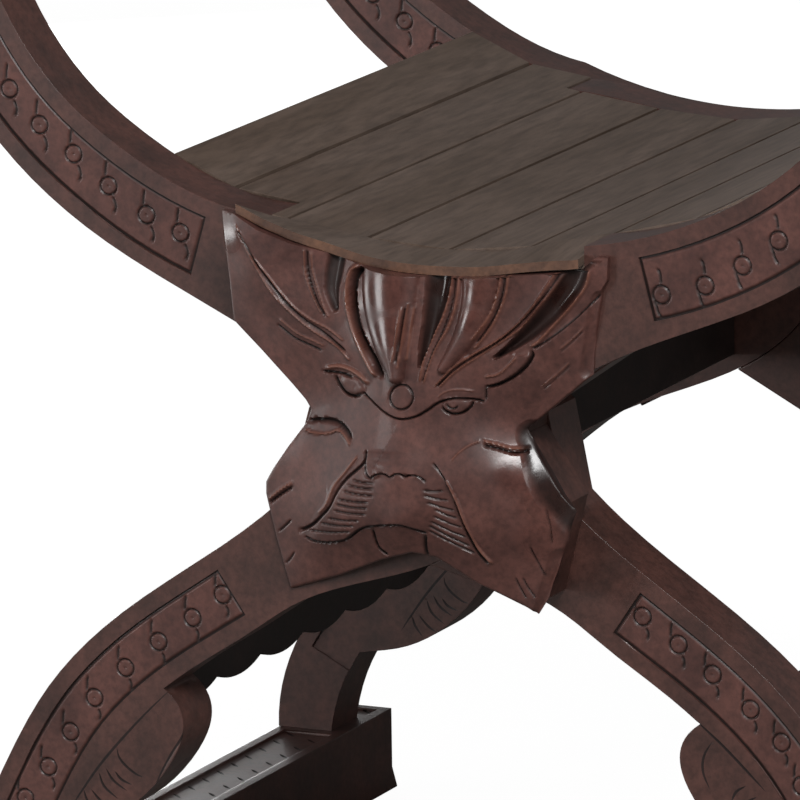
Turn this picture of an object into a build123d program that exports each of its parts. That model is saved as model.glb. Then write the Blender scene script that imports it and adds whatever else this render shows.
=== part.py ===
from build123d import *
import os
from math import asin, degrees, pi, sin

# Carved X-frame armchair in stained hardwood, in millimetres.
# X runs across the chair, Y from the front frame to the back, Z up from the floor.
# Each frame is two S-shaped boards laid one behind the other and crossing at the middle.

# Overall driving sizes; the seat is measured from the crossing and the arm tops from the seat
crossing_height = 350.0
seat_rise = 84.0
arm_rise = 221.0
arm_reach = 287.0
foot_reach = 290.0
frame_spacing = 429.0
board_thickness = 36.0

# Widths of the arms and legs, seen from the front
arm_width = 54.0
arm_top_width = 46.0
leg_width = 46.0
left_arm_swell = 1.5
left_arm_slimming = 4.5
front_leg_swell = 4.0
rear_leg_swell = -8.0
tenon_inset = 9.0
tenon_length = 14.0
joint_gap = 0.3

# Crossing blocks and the carved mask on the front crossing
block_overhang = 10.0
block_waist = 62.0
block_chin_half_width = 90.0
block_jaw_half_width = 76.0
block_drop = 102.0
block_inset = 5.0
block_shoulder_inset = 6.0
chin_notch = 18.0
rear_chin_notch = 38.0

# Carved mask: a plate with raised locks, brow, muzzle and cheeks
mask_base = 6.0
lock_root_radius = 4.0
lock_end_radius = 9.0
brow_radius = 40.0
brow_depth = 13.0
muzzle_radius = 30.0
muzzle_depth = 20.0
cheek_radius = 34.0
cheek_depth = 8.0
chin_radius = 17.0
chin_depth = 12.0
eye_radius = 8.0
eye_depth = 14.0
eye_spread = 29.0
eye_rise = 16.0
disc_radius = 7.0
disc_depth = 3.0
forehead_rise = 14.0
cheek_drop = 48.0
mask_dowel_diameter = 9.0
mask_dowel_length = 20.0
mask_dowel_grip = 4.5
mask_dowel_inset = 44.0
lock_end_shares = [-0.88, -0.58, -0.2, 0.2, 0.5, 0.82]

# Seat
slat_count = 8
slat_pitch = 48.0
slat_gap = 2.4
slat_thickness = 13.0
slat_shift = 6.0
slat_left_trim = 10.0
seat_rail_depth = 20.0
seat_lip_reach = 8.0
seat_lip_thickness = 5.0
ledger_width = 22.0
ledger_depth = 26.0

# Feet, stretchers and the beam between the crossings
runner_width = 44.0
runner_height = 50.0
runner_overhang = 28.0
runner_flare = 7.0
runner_panel_inset = 7.0
runner_panel_depth = 1.5
stretcher_thickness = 22.0
stretcher_height = 46.0
stretcher_bottom = 157.0
stretcher_centre = 189.0
scallop_count = 6
scallop_pitch = 56.0
scallop_depth = 5.5
beam_thickness = 24.0
beam_drop = 53.0
beam_shift = -8.0
stub_length = 12.0
stub_inset = 6.0

# Armrests and back
armrest_width = 62.0
armrest_thickness = 28.0
armrest_front_overhang = 44.0
armrest_rear_overhang = 10.0
armrest_round = 12.0
post_width = 34.0
post_depth = 30.0
post_height = 236.0
back_board_height = 150.0
back_board_thickness = 22.0
back_crest_rise = 26.0
back_board_drop = 18.0

# Sunk panels that carry the ring carving
panel_margin = 9.5
panel_depth = 1.6
right_panel_start_share = 0.095
left_panel_start_share = 0.12
arm_panel_end_share = 0.93
leg_panel_start_share = 0.18
leg_panel_end_share = 0.83

# Fasteners
dowel_diameter = 12.0
dowel_spread = 26.0
dowel_inset = 2.0
screw_diameter = 4.0
screw_head_diameter = 8.0
screw_head_height = 3.0
screw_recess = 6.0
screw_point_cover = 5.0
screw_gap = 0.2

# Outline points, each a share of the size that it follows
arm_inner_shares = [
    (0.348, 0.070), (0.523, 0.124), (0.645, 0.195), (0.767, 0.305),
    (0.861, 0.439), (0.923, 0.584), (0.972, 0.765), (1.0, 1.0),
]
left_inner_shares = [
    (0.348, 0.048), (0.523, 0.096), (0.650, 0.181), (0.773, 0.298),
    (0.864, 0.437), (0.925, 0.584), (0.972, 0.765), (1.0, 1.0),
]
leg_outer_shares = [
    (0.262, 0.836), (0.424, 0.713), (0.593, 0.600),
    (0.762, 0.443), (0.876, 0.257), (0.962, 0.083), (1.0, 0.0),
]
leg_inner_end_share = 0.39
lobe_shares = [
    (0.486, 0.393), (0.532, 0.290), (0.605, 0.223), (0.682, 0.185), (0.752, 0.170),
]
ankle_shares = [(0.785, 0.165), (0.822, 0.100), (0.850, 0.0)]
right_leg_shift_share = -0.015
rear_leg_shift_share = 0.032
root_fade = 4
crossing_upper_shares = [(0.0, 0.58), (0.26, 0.83)]
right_shoulder_share = 0.35
left_shoulder_share = 0.50
rear_relief_shares = [(0.58, 0.18), (0.44, 0.07), (0.348, 0.025), (0.2, -0.02), (0.0, -0.045), (-0.4, -0.045)]
block_cheek_share = 0.42
seat_curve_shares = [(0.0, 0.0), (0.174, 0.020), (0.348, 0.070)]
outline_steps = 7
leg_lower_steps = 4
halving_steps = 24

# Sizes worked out from the driving ones
seat_height = crossing_height + seat_rise
arm_top_height = seat_height + arm_rise
seat_reach = arm_inner_shares[0][0] * arm_reach
block_half_width = seat_reach + block_overhang
block_foot_height = crossing_height - block_drop
beam_bottom = crossing_height - beam_drop
mask_dowel_spread = block_half_width - mask_dowel_inset
rear_back_y = frame_spacing + 2 * board_thickness
runner_reach = runner_overhang + runner_flare
front_limit = min(-armrest_front_overhang, -runner_reach)
rear_limit = rear_back_y + max(armrest_rear_overhang, runner_reach)
middle_y = (front_limit + rear_limit) / 2

os.makedirs("parts", exist_ok=True)


def save(shape, name):
    """Centre one piece, or a group of alike pieces, front to back and write its file."""
    centring = Location((0, -middle_y, 0))
    solids = [solid.moved(centring) for solid in shape.solids()]
    body = solids[0] if len(solids) == 1 else Compound(children=solids)
    body.label = name
    export_step(body, f"parts/{name}.step")


def at(x, z, y=0.0):
    return Vector(x, y, z)


def flipped(points, side):
    """The same points on the left (-1) or right (+1) half of the chair."""
    return [Vector(side * p.X, p.Y, p.Z) for p in points]


def slab(edges, y_front, thickness):
    """Extrude an outline drawn in the XZ plane backwards from y_front."""
    face = Face(Wire(edges))
    flat = face.moved(Location((0, y_front, 0)))
    return Solid.extrude(flat, Vector(0, thickness, 0))


def loop_of(points):
    """Straight edges round a list of corners."""
    return [Line(a, b).edge() for a, b in zip(points, points[1:] + points[:1])]


def box(x0, x1, y0, y1, z0, z1):
    size = (x1 - x0, y1 - y0, z1 - z0)
    return Solid.make_box(*size).moved(Location((x0, y0, z0)))


def rod(centre, radius, length, axis):
    """A round bar that starts at centre and runs along axis."""
    return Solid.make_cylinder(radius, length, Plane(origin=centre, z_dir=axis))


def cut(shape, *tools):
    """Take tools away from shape and keep the result as plain solids."""
    result = shape
    for tool in tools:
        result = result - tool
    return result


def biggest(shape):
    return max(shape.solids(), key=lambda solid: solid.volume)


# Curves that the frames share

def arm_point(share_x, share_z):
    return at(share_x * arm_reach, seat_height + share_z * arm_rise)


def leg_point(share_x, share_z):
    return at(share_x * foot_reach, runner_height + share_z * (crossing_height - runner_height))


arm_inner = Spline(*[arm_point(*share) for share in arm_inner_shares])
left_inner = Spline(*[arm_point(*share) for share in left_inner_shares])
seat_curve_points = [arm_point(*share) for share in seat_curve_shares]
seat_curve = Spline(*seat_curve_points, tangents=[(1, 0, 0), tuple(arm_inner % 0)])
left_curve_points = seat_curve_points[:-1] + [left_inner @ 0]
left_seat_curve = Spline(*left_curve_points, tangents=[(1, 0, 0), tuple(left_inner % 0)])


def beside(curve, share, offset):
    """A point at a share of the curve, pushed to its lower side by offset."""
    point, along = curve @ share, curve % share
    return at(point.X + along.Z * offset, point.Z - along.X * offset)


def seat_level(x):
    """Height of the seat line above the floor at a distance x from the middle."""
    reach = abs(x)
    middle_curve, outer_curve = (left_seat_curve, left_inner) if x < 0 else (seat_curve, arm_inner)
    curve = middle_curve if reach <= seat_curve_points[-1].X else outer_curve
    low, high = 0.0, 1.0
    for _ in range(halving_steps):
        middle = (low + high) / 2
        if (curve @ middle).X < reach:
            low = middle
        else:
            high = middle
    return (curve @ low).Z


def arm_width_at(share):
    return arm_width + (arm_top_width - arm_width) * share ** 2


def left_arm_width_at(share):
    swell = left_arm_swell * (1 - share) ** root_fade
    return arm_width_at(share) + swell - left_arm_slimming * sin(pi * share)


def leg_shape(shift_share, swell):
    """Outer curve, lobe, ankle and width of a leg that stands outwards by a share of its reach."""
    outer = [leg_point(x + shift_share, z) if z > 0 else leg_point(x, z) for x, z in leg_outer_shares]
    lobe = [leg_point(x + shift_share, z) for x, z in lobe_shares]
    ankle = [leg_point(x + shift_share, z) for x, z in ankle_shares]

    def width_at(share):
        return leg_width + swell * (1 - share) ** root_fade
    return Spline(*outer), lobe, ankle, width_at


left_leg = leg_shape(0.0, front_leg_swell)
right_leg = leg_shape(right_leg_shift_share, front_leg_swell)
rear_left_leg = leg_shape(rear_leg_shift_share, rear_leg_swell)


def leg_on(side, front_frame):
    if side > 0:
        return right_leg
    return left_leg if front_frame else rear_left_leg


def member_edges(inner, arm_width_at_share, leg, notch):
    """Outline of a board that runs from the right arm, with that inner edge, to the left foot."""
    leg_outer, lobe_points, ankle_points, leg_width_at = leg
    shares = [step / outline_steps for step in range(outline_steps + 1)]
    outer_shares = [share for share in shares if share > 0][::-1]
    arm_outer = [beside(inner, share, arm_width_at_share(share)) for share in outer_shares]
    arm_outer[0] = at(arm_outer[0].X, arm_top_height)
    notch_right = at(block_waist, crossing_height)
    notch_left = at(-block_waist, crossing_height)
    arm_lower = Spline(*arm_outer, notch_right)

    leg_shares = [leg_inner_end_share * (step + 1) / leg_lower_steps for step in range(leg_lower_steps)]
    leg_lower_points = [beside(leg_outer, share, leg_width_at(share)) for share in leg_shares]
    leg_lower = flipped(leg_lower_points, -1)
    chin = at(0, block_foot_height + notch)
    belly = Spline(notch_right, chin, *leg_lower)
    lobe = flipped([leg_lower_points[-1]] + lobe_points, -1)
    ankle = flipped(ankle_points, -1)
    leg_top = flipped([leg_outer @ (1 - share) for share in shares], -1)
    shoulder = [at(s * block_half_width, crossing_height + r * (seat_height - crossing_height))
                for s, r in crossing_upper_shares]
    return [
        inner.edge(),
        Line(inner @ 1, arm_outer[0]).edge(),
        arm_lower.edge(),
        belly.edge(),
        Spline(*lobe, ankle[0]).edge(),
        Spline(*ankle).edge(),
        Line(ankle[-1], leg_top[0]).edge(),
        Spline(*leg_top).edge(),
        Line(leg_top[-1], notch_left).edge(),
        Spline(notch_left, *shoulder, inner @ 0).edge(),
    ]


def panel_cutter(curve, start, end, width_at, side, y_front):
    """The shallow bordered panel sunk in the front of an arm or a leg."""
    shares = [start + (end - start) * step / outline_steps for step in range(outline_steps + 1)]
    near = flipped([beside(curve, s, panel_margin) for s in shares], side)
    far = flipped([beside(curve, s, width_at(s) - panel_margin) for s in shares], side)
    edges = [
        Spline(*near).edge(),
        Line(near[-1], far[-1]).edge(),
        Spline(*far[::-1]).edge(),
        Line(far[0], near[0]).edge(),
    ]
    return slab(edges, y_front - panel_depth, 2 * panel_depth)


def mirrored(shape):
    return shape.mirror(Plane.YZ)


def arm_tenon(side, y_front, grow):
    """Tenon at the top of an arm; grow widens and deepens it into its mortise."""
    inner = arm_reach + tenon_inset - grow
    outer = arm_reach + arm_top_width - tenon_inset + grow
    y0 = y_front + tenon_inset - grow
    y1 = y_front + board_thickness - tenon_inset + grow
    left, right = sorted([side * inner, side * outer])
    return box(left, right, y0, y1, arm_top_height, arm_top_height + tenon_length + grow)


def foot_tenon(side, front_frame, y_front, grow):
    ankle_points = leg_on(side, front_frame)[2]
    inner = ankle_points[-1].X + tenon_inset - grow
    outer = foot_reach - tenon_inset + grow
    y0 = y_front + tenon_inset - grow
    y1 = y_front + board_thickness - tenon_inset + grow
    left, right = sorted([side * inner, side * outer])
    return box(left, right, y0, y1, runner_height - tenon_length - grow, runner_height)


def stretcher_stub(side, y_face, outward, grow):
    """Stub tenon of a side stretcher, running from y_face into a leg."""
    half = stretcher_thickness / 2 - stub_inset + grow
    z0 = stretcher_bottom + scallop_depth + stub_inset - grow
    z1 = stretcher_bottom + stretcher_height - stub_inset + grow
    y0, y1 = sorted([y_face, y_face + outward * (stub_length + grow)])
    centre = side * stretcher_centre
    return box(centre - half, centre + half, y0, y1, z0, z1)


def beam_top():
    """The beam stops just under the seat bearers."""
    return seat_level(slat_shift) - slat_thickness - ledger_depth - joint_gap


def beam_stub(y_face, outward, grow):
    half = beam_thickness / 2 - stub_inset + grow
    left, right = beam_shift - half, beam_shift + half
    z0 = beam_bottom + stub_inset - grow
    z1 = beam_top() - stub_inset + grow
    y0, y1 = sorted([y_face, y_face + outward * (stub_length + grow)])
    return box(left, right, y0, y1, z0, z1)


def crossing_dowels(y_front, grow):
    """Two dowels that pin the two boards of a frame together at the crossing."""
    length = 2 * board_thickness - 2 * dowel_inset + 2 * grow
    rods = []
    for side in (-1, 1):
        centre = at(beam_shift + side * dowel_spread / 2, crossing_height - side * dowel_spread / 2)
        start = Vector(centre.X, y_front + dowel_inset - grow, centre.Z)
        rods.append(rod(start, dowel_diameter / 2 + grow, length, (0, 1, 0)))
    return rods


# The block that fills the crossing, and the outline of the mask on it

def block_outline(side, inset, top_drop):
    """One half of the hourglass from the top corner round to the foot."""
    shoulder_share = right_shoulder_share if side > 0 else left_shoulder_share
    top_z = seat_level(side * block_half_width) - top_drop
    shoulder_z = crossing_height + seat_rise * shoulder_share
    cheek_z = crossing_height - block_drop * block_cheek_share
    return flipped([
        at(block_half_width - inset, top_z),
        at(block_half_width - block_shoulder_inset - inset, shoulder_z),
        at(block_waist - inset, crossing_height),
        at(block_chin_half_width - inset, cheek_z),
        at(block_jaw_half_width - inset, block_foot_height + inset),
    ], side)


def block_edges(inset, top_drop, notch):
    """Hourglass outline: seat line along the top, pointed lobes below."""
    right = block_outline(1, inset, top_drop)
    left = block_outline(-1, inset, top_drop)
    middle_top = at(0, seat_height - top_drop)
    middle_foot = at(0, block_foot_height + notch + inset)
    quarter = block_half_width / 2
    dip = [at(side * quarter, seat_level(side * quarter) - top_drop) for side in (-1, 1)]
    corners = right + [middle_foot] + left[::-1]
    return [
        Spline(left[0], dip[0], middle_top, dip[1], right[0]).edge(),
    ] + [Line(a, b).edge() for a, b in zip(corners, corners[1:])]


def deck_space(y0, y1, x0, x1):
    """Room for the slats and their clearance, following the seat line."""
    steps = [x0 + (x1 - x0) * step / outline_steps for step in range(outline_steps + 1)]
    low = [at(x, seat_level(x) - slat_thickness - slat_gap) for x in steps]
    high = [at(x, seat_level(x) + slat_thickness) for x in steps]
    edges = [
        Spline(*low).edge(),
        Line(low[-1], high[-1]).edge(),
        Spline(*high[::-1]).edge(),
        Line(high[0], low[0]).edge(),
    ]
    return slab(edges, y0, y1 - y0)


# Slat edges across the seat
slat_edges = [slat_shift + (index - slat_count / 2) * slat_pitch for index in range(slat_count + 1)]
slat_edges[0] += slat_left_trim
front_ledger_y = 2 * board_thickness
rear_ledger_y = frame_spacing - ledger_width


def chord_points(drop):
    """Corners of the flat-faceted seat at the slat joints, lowered by drop."""
    return [at(x, seat_level(x) - drop) for x in slat_edges]


def slat_screws(grow):
    """Screws driven up through each bearer into the middle of each slat end."""
    shapes = []
    for left, right in zip(chord_points(0), chord_points(0)[1:]):
        x, z = (left.X + right.X) / 2, (left.Z + right.Z) / 2
        seat_z = z - slat_thickness - ledger_depth + screw_recess
        length = ledger_depth - screw_recess + slat_thickness - screw_point_cover
        for y in (front_ledger_y + ledger_width / 2, rear_ledger_y + ledger_width / 2):
            shank = rod((x, y, seat_z), screw_diameter / 2 + grow, length + grow, (0, 0, 1))
            head_depth = screw_recess + ledger_depth if grow else screw_head_height
            head = rod((x, y, seat_z), screw_head_diameter / 2 + grow, head_depth, (0, 0, -1))
            shapes.append(shank + head)
    return shapes


def ledger(y_front):
    """Curved bearer under the slat ends, faceted to take each flat slat."""
    top = chord_points(slat_thickness)
    bottom = chord_points(slat_thickness + ledger_depth)
    return slab(loop_of(top + bottom[::-1]), y_front, ledger_width)


def slat(index):
    """One slat, flat across its width, with a gap shared by its two edges."""
    left, right = chord_points(0)[index], chord_points(0)[index + 1]
    slope = (right.Z - left.Z) / (right.X - left.X)
    x0, x1 = left.X + slat_gap / 2, right.X - slat_gap / 2
    z0, z1 = left.Z + slope * slat_gap / 2, right.Z - slope * slat_gap / 2
    corners = [at(x0, z0), at(x1, z1), at(x1, z1 - slat_thickness), at(x0, z0 - slat_thickness)]
    front, back = board_thickness + joint_gap, frame_spacing + board_thickness - joint_gap
    body = slab(loop_of(corners), front, back - front)
    low, high = min(z0, z1) - seat_rail_depth, max(z0, z1) + seat_rail_depth
    step_x = -seat_reach
    if x0 < step_x:
        body = body - box(x0 - slat_gap, min(x1 + slat_gap, step_x), front - slat_gap,
                          front + board_thickness, low, high)
    if x1 > step_x:
        body = body - box(max(x0 - slat_gap, step_x - joint_gap), x1 + slat_gap,
                          back - board_thickness, back + slat_gap, low, high)
    return biggest(body)


def seat_strip(rise, depth, y0, y1):
    """Strip between the arms, from rise above the seat line to depth below it."""
    steps = [seat_reach * (2 * step / outline_steps - 1) for step in range(outline_steps + 1)]
    top = [at(x, seat_level(x) + rise) for x in steps]
    bottom = [at(x, seat_level(x) - depth) for x in steps]
    edges = [
        Spline(*top).edge(),
        Line(top[-1], bottom[-1]).edge(),
        Spline(*bottom[::-1]).edge(),
        Line(bottom[0], top[0]).edge(),
    ]
    return slab(edges, y0, y1 - y0)


def seat_rail(y_front, lip_reach):
    """Curved strip that closes the seat between the arms of one frame."""
    body = seat_strip(0, seat_rail_depth, y_front, y_front + board_thickness)
    if lip_reach:
        body = body + seat_strip(0, seat_lip_thickness, y_front - lip_reach, y_front)
    return biggest(body)


def mask_dowels(grow):
    """Four blind dowels that hold the mask to the front crossing."""
    places = [
        (-mask_dowel_spread, mask_dowel_top_z), (mask_dowel_spread, mask_dowel_top_z),
        (-mask_dowel_spread, mask_dowel_low_z), (mask_dowel_spread, mask_dowel_low_z),
    ]
    start = -mask_dowel_grip - grow
    length = mask_dowel_length + 2 * grow
    radius = mask_dowel_diameter / 2 + grow
    return [rod((x, start, z), radius, length, (0, 1, 0)) for x, z in places]


mask_dowel_top_z = (seat_height + crossing_height) / 2
mask_dowel_low_z = (block_foot_height + crossing_height) / 2


def dome(x, z, radius, height):
    """A round swelling that rises from the front of the mask plate."""
    ball = (radius ** 2 + height ** 2) / (2 * height)
    root_y = -mask_base / 2
    middle_y = ball - mask_base - height
    facing = Plane(origin=(x, middle_y, z), x_dir=(1, 0, 0), z_dir=(0, -1, 0))
    return Solid.make_sphere(ball, facing, degrees(asin((middle_y - root_y) / ball)), 90)


def lion_mask():
    """The carved animal mask: locks above, brow and muzzle in the middle, cheeks below."""
    top_drop = seat_lip_thickness + joint_gap
    outline = block_edges(0, top_drop, chin_notch)
    reach = mask_base + brow_depth + muzzle_depth
    room = slab(outline, -reach, reach)
    forehead_z = crossing_height + forehead_rise
    root = Vector(0, -mask_base, forehead_z)
    reliefs = [
        dome(0, forehead_z, brow_radius, brow_depth),
        dome(0, crossing_height - muzzle_radius, muzzle_radius, muzzle_depth),
        dome(0, block_foot_height + chin_notch + chin_radius, chin_radius, chin_depth),
    ]
    for side in (-1, 1):
        cheek_x = side * (block_jaw_half_width - cheek_radius / 2)
        reliefs.append(dome(cheek_x, crossing_height - cheek_drop, cheek_radius, cheek_depth))
        reliefs.append(dome(side * eye_spread, crossing_height + eye_rise, eye_radius, eye_depth))
    for share in lock_end_shares:
        x = share * block_half_width
        along = Vector(x, -mask_base, seat_level(x) - top_drop) - root
        reliefs.append(Solid.make_cone(lock_root_radius, lock_end_radius, along.length,
                                       Plane(origin=root, z_dir=along)))
    mask = slab(outline, -mask_base, mask_base)
    for relief in reliefs:
        mask = biggest(mask + biggest(relief & room))
    mask = mask + rod(root, disc_radius, brow_depth + disc_depth, (0, -1, 0))
    return biggest(cut(mask, seat_rail(0.0, seat_lip_reach), *mask_dowels(joint_gap)))


def rear_relief(y_front):
    """Room above the rear left arm board, which falls away behind the rear seat rail."""
    low = flipped([arm_point(*share) for share in rear_relief_shares], -1)
    top = at(low[-1].X, seat_height + arm_rise / 2)
    edges = [Spline(*low).edge(), Line(low[-1], top).edge(), Line(top, low[0]).edge()]
    return slab(edges, y_front, board_thickness)


def build_frame(name, y_front, front_frame):
    """Two crossing boards, the blocks between them and their dowels."""
    notch = chin_notch if front_frame else rear_chin_notch
    near_leg = leg_on(-1, front_frame)
    near_edges = member_edges(arm_inner, arm_width_at, near_leg, notch)
    far_edges = member_edges(left_inner, left_arm_width_at, right_leg, notch)
    board = slab(near_edges, y_front, board_thickness)
    far_y = y_front + board_thickness
    far_board = mirrored(slab(far_edges, far_y, board_thickness))
    holes = crossing_dowels(y_front, joint_gap)
    rail = seat_strip(seat_rail_depth, seat_rail_depth, y_front, far_y)

    if front_frame:
        beam_hole = beam_stub(far_y + board_thickness, -1, joint_gap)
        near_stub = stretcher_stub(-1, far_y, -1, joint_gap)
        far_stub = stretcher_stub(1, far_y + board_thickness, -1, joint_gap)
        face_holes = mask_dowels(joint_gap)
    else:
        beam_hole = beam_stub(y_front, 1, joint_gap)
        near_stub = stretcher_stub(-1, y_front, 1, joint_gap)
        far_stub = stretcher_stub(1, far_y, 1, joint_gap)
        face_holes = []

    right_panel = (arm_inner, right_panel_start_share, arm_panel_end_share, arm_width_at)
    left_panel = (left_inner, left_panel_start_share, arm_panel_end_share, left_arm_width_at)
    near_panel, far_panel = [(leg[0], leg_panel_start_share, leg_panel_end_share, leg[3])
                             for leg in (near_leg, right_leg)]
    near = board + arm_tenon(1, y_front, 0) + foot_tenon(-1, front_frame, y_front, 0)
    near = cut(near, rail, near_stub, beam_hole, *holes, *face_holes,
               panel_cutter(*right_panel, 1, y_front), panel_cutter(*near_panel, -1, y_front))
    far = far_board + arm_tenon(-1, far_y, 0) + foot_tenon(1, front_frame, far_y, 0)
    far = cut(far, far_stub, beam_hole, *holes,
              panel_cutter(*left_panel, -1, far_y), panel_cutter(*far_panel, 1, far_y))

    block = slab(block_edges(block_inset, seat_rail_depth, notch), y_front, board_thickness)
    near_fill = cut(block, board, rail, beam_hole, *holes, *face_holes)
    far_fill = cut(block.moved(Location((0, board_thickness, 0))), far_board, beam_hole, *holes)
    if front_frame:
        slat_room = deck_space(far_y, far_y + board_thickness, -seat_reach, block_half_width)
        far = cut(far, slat_room)
    else:
        far = cut(far, rear_relief(far_y))

    save(biggest(near), f"{name}_right_arm_board")
    save(biggest(far), f"{name}_left_arm_board")
    for fill, layer in ((near_fill, "outer" if front_frame else "inner"),
                        (far_fill, "inner" if front_frame else "outer")):
        pieces = sorted(fill.solids(), key=lambda solid: solid.volume)[-2:]
        pieces.sort(key=lambda solid: solid.center().Z)
        save(pieces[0], f"{name}_{layer}_lower_block")
        save(pieces[1], f"{name}_{layer}_upper_block")
    save(Compound(children=crossing_dowels(y_front, 0)), f"{name}_crossing_dowels")


def yz_slab(points, x0, x1):
    """Extrude an outline given as (y, z) pairs sideways from x0 to x1."""
    corners = [Vector(x0, y, z) for y, z in points]
    face = Face(Wire(loop_of(corners)))
    return Solid.extrude(face, Vector(x1 - x0, 0, 0))


def runner(side):
    """Foot rail that ties the front and rear legs of one side together."""
    y_leg = 0.0 if side < 0 else board_thickness
    y0 = y_leg - runner_overhang
    y1 = y_leg + frame_spacing + board_thickness + runner_overhang
    flare_z = 2 * runner_flare
    profile = [
        (y0, runner_height), (y1, runner_height), (y1, flare_z), (y1 + runner_flare, 0),
        (y0 - runner_flare, 0), (y0, flare_z),
    ]
    inner, outer = side * (foot_reach - runner_width), side * foot_reach
    body = yz_slab(profile, inner, outer)
    x0, x1 = sorted([inner, outer])
    panel_top = runner_height + runner_panel_depth
    panels = [
        (y0, y_leg), (y_leg + board_thickness, y_leg + frame_spacing),
        (y_leg + frame_spacing + board_thickness, y1),
    ]
    for start, end in panels:
        body = body - box(x0 + runner_panel_inset, x1 - runner_panel_inset,
                          start + runner_panel_inset, end - runner_panel_inset,
                          runner_height - runner_panel_depth, panel_top)
    for y_front, front_frame in ((y_leg, True), (y_leg + frame_spacing, False)):
        body = body - foot_tenon(side, front_frame, y_front, joint_gap)
    return biggest(body)


def side_stretcher(side):
    """Board between the front and rear legs with a scalloped lower edge."""
    y0 = board_thickness if side < 0 else 2 * board_thickness
    y1 = y0 + frame_spacing - board_thickness
    top, base = stretcher_bottom + stretcher_height, stretcher_bottom + scallop_depth
    x0 = side * stretcher_centre - stretcher_thickness / 2
    first = (y0 + y1 - scallop_count * scallop_pitch) / 2
    last = first + scallop_count * scallop_pitch
    edges = [Line((x0, y0, base), (x0, first, base)).edge()]
    for index in range(scallop_count):
        start, end = first + index * scallop_pitch, first + (index + 1) * scallop_pitch
        edges.append(ThreePointArc((x0, start, base), (x0, (start + end) / 2, stretcher_bottom),
                                   (x0, end, base)).edge())
    edges += [
        Line((x0, last, base), (x0, y1, base)).edge(),
        Line((x0, y1, base), (x0, y1, top)).edge(),
        Line((x0, y1, top), (x0, y0, top)).edge(),
        Line((x0, y0, top), (x0, y0, base)).edge(),
    ]
    body = Solid.extrude(Face(Wire(edges)), Vector(stretcher_thickness, 0, 0))
    return biggest(body + stretcher_stub(side, y0, -1, 0) + stretcher_stub(side, y1, 1, 0))


def centre_beam():
    """Deep board that joins the two crossings."""
    y0, y1 = 2 * board_thickness, frame_spacing
    half = beam_thickness / 2
    left, right = beam_shift - half, beam_shift + half
    body = box(left, right, y0, y1, beam_bottom, beam_top())
    bearer_room = ledger_width + joint_gap
    deck_bottom = seat_level(slat_shift) - slat_thickness - joint_gap
    web = box(left, right, y0 + bearer_room, y1 - bearer_room, beam_bottom, deck_bottom)
    return biggest(body + web + beam_stub(y0, -1, 0) + beam_stub(y1, 1, 0))


arm_centre = arm_reach + arm_top_width / 2
armrest_top = arm_top_height + armrest_thickness
post_y0 = rear_back_y - post_depth


def post_tenon(side, grow):
    half_x, y0 = post_width / 2 - stub_inset + grow, post_y0 + stub_inset - grow
    y1 = rear_back_y - stub_inset + grow
    centre = side * arm_centre
    return box(centre - half_x, centre + half_x, y0, y1, armrest_top - stub_length - grow, armrest_top)


def armrest(side):
    """Flat armrest with rounded ends on the tops of two arms."""
    y0, y1 = -armrest_front_overhang, rear_back_y + armrest_rear_overhang
    half = armrest_width / 2
    centre = side * arm_centre
    body = box(centre - half, centre + half, y0, y1, arm_top_height, armrest_top)
    body = body.fillet(armrest_round, body.edges().filter_by(Axis.Z))
    y_arm = 0.0 if side > 0 else board_thickness
    body = cut(body, arm_tenon(side, y_arm, joint_gap),
               arm_tenon(side, y_arm + frame_spacing, joint_gap), post_tenon(side, joint_gap))
    return biggest(body)


def board_stub(side, grow):
    """Tenon at one end of the back board."""
    face = arm_centre - post_width / 2
    x0, x1 = sorted([side * face, side * (face + stub_length + grow)])
    post_middle = rear_back_y - post_depth / 2
    half_y = back_board_thickness / 2 - stub_inset + grow
    z1 = armrest_top + post_height - back_board_drop - stub_inset + grow
    z0 = z1 - back_board_height + 2 * stub_inset - 2 * grow
    return box(x0, x1, post_middle - half_y, post_middle + half_y, z0, z1)


def back_post(side):
    """Short upright on the rear end of an armrest."""
    centre = side * arm_centre
    body = box(centre - post_width / 2, centre + post_width / 2, post_y0, rear_back_y,
               armrest_top, armrest_top + post_height)
    body = body + post_tenon(side, 0)
    return biggest(body - board_stub(side, joint_gap))


def back_board():
    """Crest board between the posts, bowed up along its top and bottom edges."""
    half = arm_centre - post_width / 2
    top = armrest_top + post_height - back_board_drop
    bottom = top - back_board_height
    y0 = rear_back_y - post_depth / 2 - back_board_thickness / 2
    edges = [
        ThreePointArc((-half, 0, top), (0, 0, top + back_crest_rise), (half, 0, top)).edge(),
        Line((half, 0, top), (half, 0, bottom)).edge(),
        ThreePointArc((half, 0, bottom), (0, 0, bottom + back_crest_rise), (-half, 0, bottom)).edge(),
        Line((-half, 0, bottom), (-half, 0, top)).edge(),
    ]
    body = slab(edges, y0, back_board_thickness)
    return biggest(body + board_stub(-1, 0) + board_stub(1, 0))


build_frame("front", 0.0, True)
build_frame("rear", frame_spacing, False)
save(lion_mask(), "lion_mask_block")
save(Compound(children=mask_dowels(0)), "mask_dowels")

screw_holes = slat_screws(screw_gap)
for index in range(slat_count):
    save(biggest(cut(slat(index), *screw_holes)), f"seat_slat_{index + 1}")
save(seat_rail(0.0, seat_lip_reach), "seat_front_rail")
save(seat_rail(frame_spacing, 0), "seat_rear_rail")
save(biggest(cut(ledger(front_ledger_y), *screw_holes)), "seat_front_bearer")
save(biggest(cut(ledger(rear_ledger_y), *screw_holes)), "seat_rear_bearer")
save(Compound(children=[biggest(screw) for screw in slat_screws(0)]), "slat_screws")
save(centre_beam(), "centre_beam")
save(back_board(), "back_board")

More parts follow.
